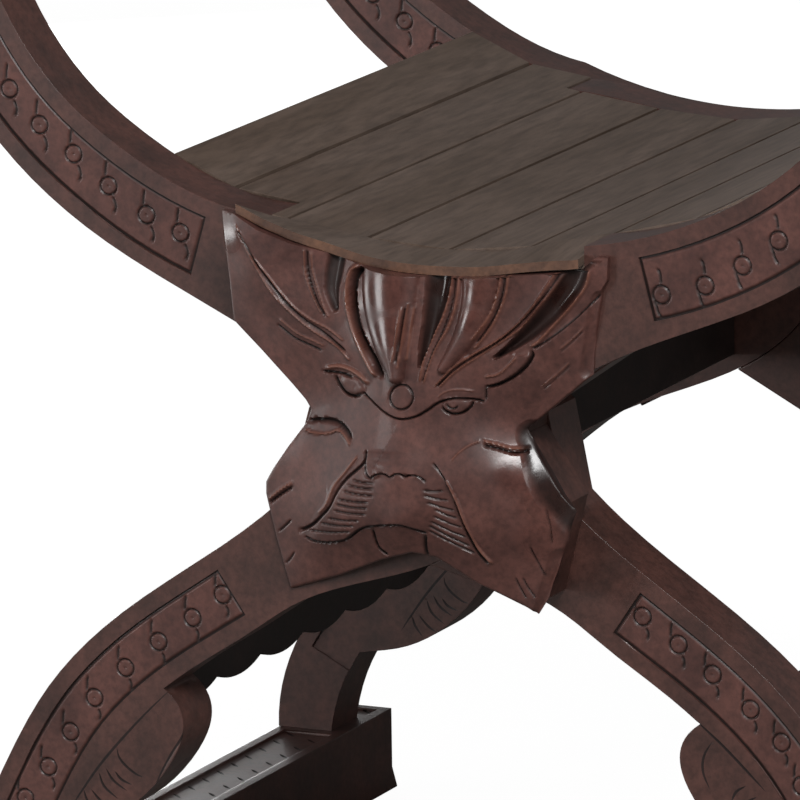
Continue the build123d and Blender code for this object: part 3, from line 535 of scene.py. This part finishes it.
class Relief:
    """Heights in mm over places in the plane, with painted shade where each place is cut and a painted
    highlight where it stands up.
    """

    def __init__(self, places, heights, unit):
        self.places, self.height, self.unit = places, heights.copy(), unit
        self.cut, self.ridge_highlight = np.zeros(len(places)), np.zeros(len(places))

    def close_to(self, path, reach):
        """Indices of the places in the box around a path, grown by a reach in mm."""
        low, high = path[:, :2].min(0) - reach * self.unit, path[:, :2].max(0) + reach * self.unit
        return np.flatnonzero(((self.places > low) & (self.places < high)).all(axis=1))

    def mark(self, chosen, amount, height):
        """Paint shade into what is cut, or a paler highlight onto what stands up."""
        shade = self.cut if height < 0 else self.ridge_highlight
        strength = np.clip(amount * min(1.0, abs(height)), 0, 1)
        shade[chosen] = np.maximum(shade[chosen], strength)

    def stroke(self, height, half, points, blunt=False):
        """A thin ridge or cut along a path, tapered at its ends unless blunt."""
        path = smooth_path(points)
        chosen = self.close_to(path, half)
        distance, _, share, passed = near_path(path, self.places[chosen])
        bell = np.clip(1 - (distance / (half * self.unit)) ** 2, 0, 1)
        from_end = np.minimum(share, 1 - share) * passed[-1] / (TAPER_HALVES * half * self.unit)
        amount = bell * (1 if blunt else ease(from_end))
        self.height[chosen] += CARVING_DEPTH * height * amount
        self.mark(chosen, amount, height)

    def swell(self, height, points):
        """A broad swelling or hollow along a path, with its half width given point by point."""
        path = smooth_path(points)
        chosen = self.close_to(path, path[:, 2].max())
        distance, _, share, passed = near_path(path, self.places[chosen])
        half = np.interp(share, passed / passed[-1], path[:, 2]) * self.unit
        fullness = SWELL_FULLNESS if height > 0 else HOLLOW_FULLNESS
        profile = np.clip(1 - (distance / half) ** 2, 0, 1) ** fullness
        self.height[chosen] += height * profile
        # Deep hollows are painted darker as shade through the cut values
        if height < -DARK_HOLLOW:
            shade = HOLLOW_SHADE * ease(profile * HOLLOW_SPREAD)
            self.cut[chosen] = np.maximum(self.cut[chosen], shade)

    def step(self, ramp, reach, points):
        """Raise the right-hand side of a path, falling back to nothing over the reach."""
        path = smooth_path(points)
        chosen = self.close_to(path, reach)
        distance, side, share, passed = near_path(path, self.places[chosen])
        height = np.interp(share, passed / passed[-1], path[:, 2])
        off = side * distance / self.unit
        self.height[chosen] += height * ease((off + ramp) / (2 * ramp)) * (1 - ease(off / reach))


def camera_axes():
    """The camera's right, up and backward directions, with its roll."""
    heading, tilt, roll = (math.radians(v) for v in (VIEW_HEADING, VIEW_TILT, VIEW_ROLL))
    back = Vector((math.cos(tilt) * math.sin(heading), -math.cos(tilt) * math.cos(heading), math.sin(tilt)))
    right = Vector((math.cos(heading), math.sin(heading), 0.0))
    up = right.cross(-back)
    return (math.cos(roll) * right + math.sin(roll) * up,
            -math.sin(roll) * right + math.cos(roll) * up, back)


RIGHT, UP, BACK = camera_axes()
EYE = VIEW_TARGET + BACK * VIEW_DISTANCE
PIXELS_PER_MM = FOCAL_PIXELS / (VIEW_DISTANCE / MM)


def to_photo(points):
    """Pixel places in the photograph of an array of scene points."""
    away = points - np.array(EYE)
    depth = -(away @ np.array(BACK))
    across = PHOTO_SIZE / 2 + FOCAL_PIXELS * (away @ np.array(RIGHT)) / depth
    down = PHOTO_SIZE / 2 - FOCAL_PIXELS * (away @ np.array(UP)) / depth
    return np.stack([across, down], axis=-1)


def from_photo(pixel, y):
    """X and Z of the scene point at depth y that the photograph shows at a pixel."""
    ray = (RIGHT * (pixel[0] - PHOTO_SIZE / 2) - UP * (pixel[1] - PHOTO_SIZE / 2)) / FOCAL_PIXELS - BACK
    point = EYE + ray * ((y - EYE.y) / ray.y)
    return np.array([point.x, point.z])


def plate_surface(controls):
    """A smooth surface, as a thin plate bends, through places with given heights."""
    given = np.array(controls, float)

    def bend(a, b):
        apart = np.linalg.norm(a[:, None, :] - b[None, :, :], axis=2) / PLATE_SPAN
        return np.where(apart > 0, apart ** 2 * np.log(np.maximum(apart, 1e-9)), 0)

    places = given[:, :2]
    flat = np.column_stack([np.ones(len(given)), places / PLATE_SPAN])
    system = np.block([[bend(places, places), flat], [flat.T, np.zeros((3, 3))]])
    weights = np.linalg.solve(system, np.concatenate([given[:, 2], np.zeros(3)]))

    def height_at(points):
        tilt = np.column_stack([np.ones(len(points)), points / PLATE_SPAN])
        return bend(points, places) @ weights[:-3] + tilt @ weights[-3:]

    return height_at


def dressed(piece, node_names, material):
    """Give a finished piece its wood, attach it to the root body and hide the parts that it takes the place
    of.
    """
    piece.data.materials.clear()
    for one in material if isinstance(material, list) else [material]:
        piece.data.materials.append(one)
    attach(piece, "root")
    if node_names:
        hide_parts(*node_names)


def take_up(piece):
    """Make a piece the only one selected and the active one."""
    bpy.ops.object.select_all(action="DESELECT")
    bpy.context.view_layer.objects.active = piece
    piece.select_set(True)


def grid_mesh(name, columns, rows):
    """A flat grid whose points run column by column within each row."""
    bpy.ops.mesh.primitive_grid_add(x_subdivisions=columns, y_subdivisions=rows, size=2)
    piece = bpy.context.object
    piece.name = piece.data.name = name
    return piece


def store(piece, name, values):
    """Keep one value for each point of a piece, for its material to read."""
    layer = piece.data.attributes.new(name, "FLOAT", "POINT")
    layer.data.foreach_set("value", np.ascontiguousarray(values, dtype=np.float32))


def close_behind(piece, back_y):
    """Draw the rim of a front sheet straight back to a depth and close it with one face."""
    front_count = len(piece.data.vertices)
    bpy.ops.object.mode_set(mode="EDIT")
    bpy.ops.mesh.select_mode(type="EDGE")
    bpy.ops.mesh.select_all(action="DESELECT")
    bpy.ops.mesh.select_non_manifold()
    bpy.ops.mesh.extrude_region_move()
    bpy.ops.object.mode_set(mode="OBJECT")
    for vertex in piece.data.vertices[front_count:]:
        vertex.co.y = back_y
    bpy.ops.object.mode_set(mode="EDIT")
    bpy.ops.mesh.fill(use_beauty=True)
    bpy.ops.mesh.select_all(action="SELECT")
    bpy.ops.mesh.normals_make_consistent(inside=False)
    bpy.ops.object.mode_set(mode="OBJECT")
    bpy.ops.object.shade_smooth_by_angle(angle=math.radians(CARVING_CREASE))


def lip_lift(x):
    """How far the seat's front edge lies above its even curve at a place across it."""
    places = np.array(LIP_LIFT, float)
    return np.interp(x / MM, places[:, 0], places[:, 1]) * MM


def side_places(pixels, levels, height_at):
    """Places of one side of the mask for rows from the foot (0) to the top (1)."""
    given = np.array(pixels, float)
    passed = lengths_along(given)
    keys = sorted(levels)
    shares = np.interp(passed, [passed[k] for k in keys], [levels[k] for k in keys])
    edge = height_at(given)
    flat = np.array([from_photo(pixel, FRONT - rise * MM) for pixel, rise in zip(given, edge)])
    rows = np.linspace(0, 1, MASK_ROWS + 1)
    return np.stack([np.interp(rows, shares[::-1], flat[::-1, k]) for k in (0, 1)], axis=-1)


def carve_mask():
    """The carved animal mask, a grid fitted to the mask's outline and raised by its relief."""
    height_at = plate_surface(MASK_RELIEF)
    left = side_places(MASK_LEFT_SIDE, MASK_LEVELS_LEFT, height_at)
    right = side_places(MASK_RIGHT_SIDE, MASK_LEVELS_RIGHT, height_at)
    block = nodes["lion_mask_block"].data
    tree = BVHTree.FromPolygons([v.co for v in block.vertices], [p.vertices for p in block.polygons])
    across = np.linspace(0, 1, MASK_COLUMNS + 1)
    top_x = left[-1, 0] + across * (right[-1, 0] - left[-1, 0])
    low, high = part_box("lion_mask_block")
    top_x = np.clip(top_x, low.x + TOP_INSET * MM, high.x - TOP_INSET * MM)
    above = [Vector((x, FRONT - TOP_PROBE * MM, high.z + TOP_PROBE_RISE)) for x in top_x]
    top_z = np.array([tree.ray_cast(place, Vector((0, 0, -1)))[0].z for place in above]) + lip_lift(top_x)
    for side, corner in ((left, (top_x[0], top_z[0])), (right, (top_x[-1], top_z[-1]))):
        side[:, 1] = np.minimum(side[:, 1], corner[1])
        side[-1] = corner

    foot = np.array([from_photo(p, FRONT - h * MM)
                     for p, h in zip(MASK_FOOT, height_at(np.array(MASK_FOOT, float)))])
    passed = lengths_along(foot)
    foot_curve = np.stack([np.interp(across, passed / passed[-1], foot[:, k]) for k in (0, 1)], axis=-1)
    top_curve = np.stack([top_x, top_z], axis=-1)

    rows = np.linspace(0, 1, MASK_ROWS + 1)[:, None, None]
    u = across[None, :, None]
    straight = left[:, None, :] * (1 - u) + right[:, None, :] * u
    foot_bow = foot_curve - (foot_curve[:1] * (1 - across[:, None]) + foot_curve[-1:] * across[:, None])
    top_bow = top_curve - (top_curve[:1] * (1 - across[:, None]) + top_curve[-1:] * across[:, None])
    flat = straight + foot_bow[None] * np.clip(1 - 2 * rows, 0, 1)
    flat = (flat + top_bow[None] * np.clip(2 * rows - 1, 0, 1)).reshape(-1, 2)

    rise = np.full(len(flat), FIRST_RISE)
    for _ in range(RISE_ROUNDS):
        points = np.column_stack([flat[:, 0], FRONT - rise * MM, flat[:, 1]])
        places = to_photo(points)
        rise = height_at(places)
    relief = Relief(places, rise, PIXELS_PER_MM)
    for step in MASK_STEPS:
        relief.step(*step)
    for swell in MASK_SWELLS:
        relief.swell(*swell)
    for stroke in MASK_STROKES:
        relief.stroke(*stroke)
    for start, end in WHISKERS:
        middle = ((start[0] + end[0]) / 2, (start[1] + end[1]) / 2 + WHISKER_SAG)
        relief.stroke(-WHISKER_CUT, WHISKER_HALF, [start, middle, end])
    radius = DISC_RADIUS * PIXELS_PER_MM
    ring = [(DISC_PLACE[0] + radius * math.cos(t) * DISC_SQUASH, DISC_PLACE[1] + radius * math.sin(t))
            for t in np.linspace(0, 2 * math.pi, DISC_POINTS)]
    relief.stroke(-DISC_CUT, DISC_HALF, ring, blunt=True)

    width = np.linalg.norm(right - left, axis=1) / MM
    from_side = (np.minimum(across, 1 - across)[None, :] * width[:, None]).ravel()
    tall = (high.z - low.z) / MM
    from_foot = np.repeat(np.linspace(0, 1, MASK_ROWS + 1) * tall, MASK_COLUMNS + 1)
    inside = np.clip(np.minimum(from_side, from_foot) / MASK_EDGE_ROUND, 0, 1)
    relief.height -= MASK_EDGE_DROP * (1 - np.sqrt(1 - (1 - inside) ** 2))
    heights = np.maximum(relief.height, MASK_LEAST)

    piece = grid_mesh("carved_mask", MASK_COLUMNS, MASK_ROWS)
    points = np.column_stack([flat[:, 0], FRONT - heights * MM, flat[:, 1]])
    piece.data.vertices.foreach_set("co", points.ravel())
    # The cut values paint shade into grooves and hollows, and the ridge values paint a paler highlight on
    # ridges
    store(piece, "cut", relief.cut)
    store(piece, "ridge_highlight", relief.ridge_highlight)
    polish = np.zeros(len(places))
    for x, y, radius in MASK_POLISH:
        away = np.hypot(places[:, 0] - x, places[:, 1] - y) / (radius * PIXELS_PER_MM)
        polish = np.maximum(polish, ease(POLISH_SPREAD * (1 - away)))
    store(piece, "polish", polish)
    close_behind(piece, FRONT - MASK_GAP * MM)
    dressed(piece, ["lion_mask_block"], carving_wood)


def floor_loops(name, depth_y):
    """Outlines, in X and Z, of the flat areas of a node that face forward at one depth."""
    mesh = nodes[name].data
    place = [(round(v.co.x, 6), round(v.co.z, 6)) for v in mesh.vertices]
    edges = set()
    for face in mesh.polygons:
        if all(abs(mesh.vertices[i].co.y - depth_y) < SAME_PLACE * MM for i in face.vertices):
            corners = [place[i] for i in face.vertices]
            edges.update(zip(corners, corners[1:] + corners[:1]))
    border = {a: b for a, b in edges if (b, a) not in edges}
    loops = []
    while border:
        start = next(iter(border))
        loop, here = [start], border.pop(start)
        while here != start:
            loop.append(here)
            here = border.pop(here)
        loops.append(np.array(loop))
    return loops


def long_sides(loop):
    """The two long sides of a panel outline, running the same way."""
    before, after = loop - np.roll(loop, 1, axis=0), np.roll(loop, -1, axis=0) - loop
    turn = np.abs(np.arctan2(before[:, 0] * after[:, 1] - before[:, 1] * after[:, 0],
                             (before * after).sum(axis=1)))
    corners = sorted(np.argsort(turn)[-4:])
    turned = np.roll(loop, -corners[0], axis=0)
    marks = [c - corners[0] for c in corners] + [len(loop)]
    closed = np.vstack([turned, turned[:1]])
    sides = [closed[a:b + 1] for a, b in zip(marks, marks[1:])]
    lengths = [np.linalg.norm(np.diff(s, axis=0), axis=1).sum() for s in sides]
    first = 0 if lengths[0] + lengths[2] > lengths[1] + lengths[3] else 1
    return sides[first], sides[first + 2][::-1]


def along(path, shares):
    """Places at given shares of a path's length, and that length."""
    passed = lengths_along(path)
    places = [np.interp(shares * passed[-1], passed, path[:, k]) for k in (0, 1)]
    return np.stack(places, axis=-1), passed[-1]


def ring_places(seen, seen_y, centreline):
    """Ring centres in mm: those that the photograph shows, then on along the centreline."""
    centres = [from_photo(pixel, seen_y) / MM for pixel in seen]
    if np.linalg.norm(centreline[0] - centres[0]) > np.linalg.norm(centreline[-1] - centres[0]):
        centreline = centreline[::-1]
    passed = lengths_along(centreline)
    distance = passed[np.argmin(np.linalg.norm(centreline - centres[-1], axis=1))] + RING_PITCH
    while distance < passed[-1] - RING_PITCH / 2:
        centres.append(along(centreline, np.array([distance / passed[-1]]))[0][0])
        distance += RING_PITCH
    return centres


def carve_panel(name, loop, depth_y, tails, seen, seen_y, number):
    """A sunk panel with its border line and a row of ring motifs, each with two tails."""
    one, other = long_sides(loop)
    if np.abs(one[0]).sum() > np.abs(one[-1]).sum():
        one, other = one[::-1], other[::-1]
    length = along(one, np.array([0]))[1] / MM
    width = np.linalg.norm(one[0] - other[0]) / MM
    columns, rows = int(length / PANEL_CELL), int(width / PANEL_CELL)
    across = np.linspace(0, 1, columns + 1)
    near, far = along(one, across)[0], along(other, across)[0]
    v = np.linspace(0, 1, rows + 1)[:, None, None]
    flat = (near[None] * (1 - v) + far[None] * v).reshape(-1, 2)
    widths = np.linalg.norm(near - far, axis=1) / MM
    from_side = (np.minimum(v, 1 - v)[:, :, 0] * widths[None]).ravel()
    from_end = np.tile(np.minimum(across, 1 - across) * length, rows + 1)
    edge = np.minimum(from_side, from_end)
    groove = 1 - ease((edge - PANEL_BORDER) / PANEL_BORDER)
    relief = Relief(flat / MM, PANEL_RISE - (PANEL_RISE - PANEL_GROOVE_FLOOR) * groove, 1.0)
    # The border groove is painted dark as shade through the cut values
    relief.cut = PANEL_GROOVE_SHADE * groove
    turns = np.linspace(0, 2 * math.pi, RING_POINTS)
    for centre in ring_places(seen, seen_y, (near + far) / 2 / MM):
        ring = [centre + RING_RADIUS * np.array([math.sin(t), math.cos(t)]) for t in turns]
        relief.stroke(-RING_CUT, RING_HALF, ring, blunt=True)
        relief.stroke(-RING_DOT_CUT, RING_HALF, [centre + np.array(p) for p in RING_DOT], blunt=True)
        for tail in tails:
            relief.stroke(-RING_CUT, TAIL_HALF, [centre + np.array(p) for p in tail])
    piece = grid_mesh(f"{name}_ring_panel_{number}", columns, rows)
    heights = np.maximum(relief.height, PANEL_LEAST)
    points = np.column_stack([flat[:, 0], depth_y - heights * MM, flat[:, 1]])
    piece.data.vertices.foreach_set("co", points.ravel())
    store(piece, "cut", relief.cut)
    store(piece, "ridge_highlight", relief.ridge_highlight)
    close_behind(piece, depth_y - PANEL_GAP * MM)
    dressed(piece, [], carving_wood)


def gouge(path, out, across, half, depth):
    """A tapered wedge that cuts one gouge stroke, as corners and faces."""
    last = len(path) - 1
    corners, faces = [], []
    for i, point in enumerate(path):
        share = GOUGE_TIP_SHARE + (1 - GOUGE_TIP_SHARE) * math.sin(math.pi * i / last) ** GOUGE_FULLNESS
        side = across[i] * half * share * MM
        over = out * GOUGE_OVER * MM
        corners += [point - side + over, point + side + over, point - out * depth * share * MM]
    for i in range(last):
        for a, b in ((0, 1), (1, 2), (2, 0)):
            faces.append((3 * i + a, 3 * i + b, 3 * i + 3 + b, 3 * i + 3 + a))
    faces += [(0, 2, 1), (3 * last, 3 * last + 1, 3 * last + 2)]
    return corners, faces


def face_gouges(cuts, seen_y, cut_y):
    """Gouges in a forward face at depth cut_y, from places seen in the photograph at depth seen_y."""
    made = []
    for cut in cuts:
        flat = smooth_path([from_photo(pixel, seen_y) for pixel in cut], GOUGE_STEPS)
        run = np.gradient(flat, axis=0)
        run /= np.linalg.norm(run, axis=1)[:, None]
        path = [np.array([x, cut_y, z]) for x, z in flat]
        across = [np.array([-dz, 0.0, dx]) for dx, dz in run]
        made.append(gouge(path, np.array([0, -1.0, 0]), across, GOUGE_HALF, GOUGE_DEPTH))
    return made


def runner_marks(name):
    """Two staggered rows of slanting chisel marks along a foot rail."""
    low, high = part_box(name)
    middle = (low.x + high.x) / 2
    count = int((high.y - low.y) / (MARK_PITCH * MM)) - 1
    start = (low.y + high.y) / 2 - (count - 1) * MARK_PITCH * MM / 2
    run = np.array([1.0, -MARK_SLANT, 0.0])
    run /= np.linalg.norm(run)
    made = []
    for index in range(count):
        for row in (-1, 1):
            y = start + (index + row * MARK_STAGGER) * MARK_PITCH * MM
            centre = np.array([middle + row * MARK_ROW * MM, y, high.z - RUNNER_SINK * MM])
            path = [centre + run * t * MARK_LENGTH * MM for t in np.linspace(-0.5, 0.5, MARK_POINTS)]
            across = [np.array([-run[1], run[0], 0.0])] * MARK_POINTS
            made.append(gouge(path, np.array([0, 0, 1.0]), across, MARK_HALF, GOUGE_DEPTH))
    return made


def cut_gouges(piece, gouges):
    """Cut the gouges out of a piece and paint their walls dark as shade."""
    corners, faces = [], []
    for points, sides in gouges:
        faces += [tuple(len(corners) + i for i in side) for side in sides]
        corners += [tuple(p) for p in points]
    mesh = bpy.data.meshes.new("gouges")
    mesh.from_pydata(corners, [], faces)
    mesh.materials.append(painted_shade_incised_wood)
    cutter = bpy.data.objects.new("gouges", mesh)
    bpy.context.scene.collection.objects.link(cutter)
    take_up(cutter)
    bpy.ops.object.mode_set(mode="EDIT")
    bpy.ops.mesh.select_all(action="SELECT")
    bpy.ops.mesh.normals_make_consistent(inside=False)
    bpy.ops.object.mode_set(mode="OBJECT")
    take_up(piece)
    bpy.ops.object.modifier_add(type="BOOLEAN")
    cut = piece.modifiers[-1]
    cut.operation = "DIFFERENCE"
    cut.solver = "EXACT"
    cut.use_self = True
    cut.material_mode = "TRANSFER"
    cut.object = cutter
    bpy.ops.object.modifier_apply(modifier=cut.name)
    bpy.data.objects.remove(cutter)


def ease_node(name, wood, width, gouges=()):
    """A copy of a piece with its outer edges rounded over and painted paler as a highlight."""
    source = nodes[name]
    piece = bpy.data.objects.new(f"eased_{name}", source.data.copy())
    bpy.context.scene.collection.objects.link(piece)
    take_up(piece)
    if name == "seat_front_rail":
        for vertex in piece.data.vertices:
            share = (FRONT + BOARD * MM - vertex.co.y) / ((BOARD + LIP_REACH) * MM)
            vertex.co.z += lip_lift(vertex.co.x) * share
    bpy.ops.object.mode_set(mode="EDIT")
    bpy.ops.mesh.select_mode(type="EDGE")
    bpy.ops.mesh.select_all(action="SELECT")
    bpy.ops.mesh.remove_doubles(threshold=MERGE * MM)
    bpy.ops.mesh.dissolve_limited(angle_limit=math.radians(FLAT_ANGLE))
    bpy.ops.mesh.select_all(action="DESELECT")
    sheet = bmesh.from_edit_mesh(piece.data)
    sharp = math.radians(SHARP_ANGLE)
    for edge in sheet.edges:
        if len(edge.link_faces) == 2 and edge.is_convex and edge.calc_face_angle() > sharp:
            depths = [max(v.co.y for v in f.verts) - min(v.co.y for v in f.verts) for f in edge.link_faces]
            walls = [depth for depth in depths if depth > SAME_PLACE * MM]
            edge.select = not walls or min(walls) >= SHALLOW_WALL * MM
    bmesh.update_edit_mesh(piece.data)
    bpy.ops.mesh.bevel(offset=width * MM, segments=2, affect="EDGES", clamp_overlap=True, material=1)
    bpy.ops.object.mode_set(mode="OBJECT")
    # Rounded edges are painted paler as a highlight, and dark as shade on the hidden boards
    edge = painted_shade_edge_wood if wood == painted_shade_wood else edge_highlight_wood
    dressed(piece, [name], [wood, edge, painted_shade_incised_wood])
    if gouges:
        cut_gouges(piece, gouges)
    bpy.ops.object.shade_smooth_by_angle(angle=math.radians(WOOD_CREASE))
    bpy.ops.object.modifier_add(type="WEIGHTED_NORMAL")
    piece.modifiers[-1].keep_sharp = True
    bpy.ops.object.modifier_apply(modifier=piece.modifiers[-1].name)
    # The lip's rounded edge and its forward faces are painted golden brown as a highlight
    if name == "seat_front_rail":
        piece.data.materials[1] = lip_highlight_wood
        for face in piece.data.polygons:
            if face.normal.y < -LIP_FACING and face.center.y < FRONT - LIP_REACH / 2 * MM:
                face.material_index = 1


def carve_panels():
    """The ring carving in every sunk panel of the four boards."""
    mask_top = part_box("lion_mask_block")[1].z
    for place in ("front", "rear"):
        for side, arm_tails, arm_rings, leg_rings in (
                ("right", RIGHT_ARM_TAILS, RIGHT_ARM_RINGS, LEFT_LEG_RINGS),
                ("left", LEFT_ARM_TAILS, LEFT_ARM_RINGS, RIGHT_LEG_RINGS)):
            name = f"{place}_{side}_arm_board"
            depth_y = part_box(name)[0].y + PANEL_DEPTH * MM
            seen_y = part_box(f"front_{side}_arm_board")[0].y + (PANEL_DEPTH - PANEL_RISE) * MM
            for number, loop in enumerate(floor_loops(name, depth_y), 1):
                arm = loop[:, 1].mean() > mask_top
                carve_panel(name, loop, depth_y, arm_tails if arm else LEG_TAILS,
                            arm_rings if arm else leg_rings, seen_y, number)


def wood_for(name):
    """The wood of a piece: painted pale and grey on the seat as its sheen, and painted near black as shade
    where it is hidden.
    """
    if name == "centre_beam" or "stretcher" in name or "bearer" in name:
        return painted_shade_wood
    if name.startswith("seat_slat") or name == "seat_front_rail":
        return sheen_painted_seat_wood
    return frame_wood


def gouges_for(name):
    """The gouge cuts and chisel marks that a piece carries."""
    if name.endswith("right_arm_board"):
        return face_gouges(LEFT_LOBE_CUTS, FRONT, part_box(name)[0].y)
    if name.endswith("left_arm_board"):
        return face_gouges(RIGHT_LOBE_CUTS, FRONT + BOARD * MM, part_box(name)[0].y)
    if name.endswith("foot_runner"):
        return runner_marks(name)
    return []


carve_mask()
carve_panels()
for name, piece in nodes.items():
    if "dowel" in name or "screw" in name:
        piece.data.materials.clear()
        piece.data.materials.append(dowel_wood if "dowel" in name else screw_steel)
    elif name != "lion_mask_block":
        width = SLAT_ROUND if name.startswith("seat_") else EDGE_ROUND
        ease_node(name, wood_for(name), width, gouges_for(name))


def add_camera():
    """The camera from which the photograph shows the chair."""
    camera = bpy.data.objects.new("camera", bpy.data.cameras.new("camera"))
    bpy.context.scene.collection.objects.link(camera)
    camera.data.sensor_width = SENSOR
    camera.data.lens = SENSOR * FOCAL_PIXELS / PHOTO_SIZE
    camera.data.clip_end = VIEW_END
    camera.matrix_world = Matrix((
        (RIGHT.x, UP.x, BACK.x, EYE.x), (RIGHT.y, UP.y, BACK.y, EYE.y),
        (RIGHT.z, UP.z, BACK.z, EYE.z), (0, 0, 0, 1)))
    bpy.context.scene.camera = camera


def add_light(name, place, target, size, power):
    """A soft square lamp aimed at a place."""
    lamp = bpy.data.objects.new(name, bpy.data.lights.new(name, "AREA"))
    bpy.context.scene.collection.objects.link(lamp)
    lamp.data.shape = "SQUARE"
    lamp.data.size = size
    lamp.data.energy = power
    lamp.location = place
    lamp.rotation_euler = (Vector(target) - Vector(place)).to_track_quat("-Z", "Y").to_euler()


def add_floor():
    """A plain floor that the camera sees as white with the chair's shadow on it."""
    bpy.ops.mesh.primitive_plane_add(size=FLOOR_SIZE, location=(0, 0, 0))
    floor = bpy.context.object
    floor.name = "floor"
    material, tree = new_material("pale_floor")
    path = node(tree, "ShaderNodeLightPath")
    paint = node(tree, "ShaderNodeBsdfDiffuse", {"Color": FLOOR_PAINT})
    bounce = node(tree, "ShaderNodeBsdfDiffuse", {"Color": FLOOR_BOUNCE})
    glow = node(tree, "ShaderNodeEmission", {"Color": WHITE, "Strength": FLOOR_GLOW})
    seen = node(tree, "ShaderNodeMixShader", {0: FLOOR_GLOW_SHARE},
                {1: paint.outputs[0], 2: glow.outputs[0]})
    mix = node(tree, "ShaderNodeMixShader", None,
               {0: path.outputs["Is Camera Ray"], 1: bounce.outputs[0], 2: seen.outputs[0]})
    node(tree, "ShaderNodeOutputMaterial", None, {"Surface": mix.outputs[0]})
    floor.data.materials.append(material)


def set_world():
    """Even room light on the chair, and white where the camera sees past it."""
    world = bpy.data.worlds.new("studio")
    bpy.context.scene.world = world
    world.use_nodes = True
    tree = world.node_tree
    tree.nodes.clear()
    path = node(tree, "ShaderNodeLightPath")
    room = node(tree, "ShaderNodeBackground", {"Color": WHITE, "Strength": ROOM_LIGHT})
    white = node(tree, "ShaderNodeBackground", {"Color": WHITE, "Strength": 1.0})
    mix = node(tree, "ShaderNodeMixShader", None,
               {0: path.outputs["Is Camera Ray"], 1: room.outputs[0], 2: white.outputs[0]})
    node(tree, "ShaderNodeOutputWorld", None, {"Surface": mix.outputs[0]})


add_camera()
for lamp_name, (place, target, size, power) in LAMPS.items():
    add_light(lamp_name, place, target, size, power)
add_floor()
set_world()
bpy.context.scene.view_settings.view_transform = "Standard"
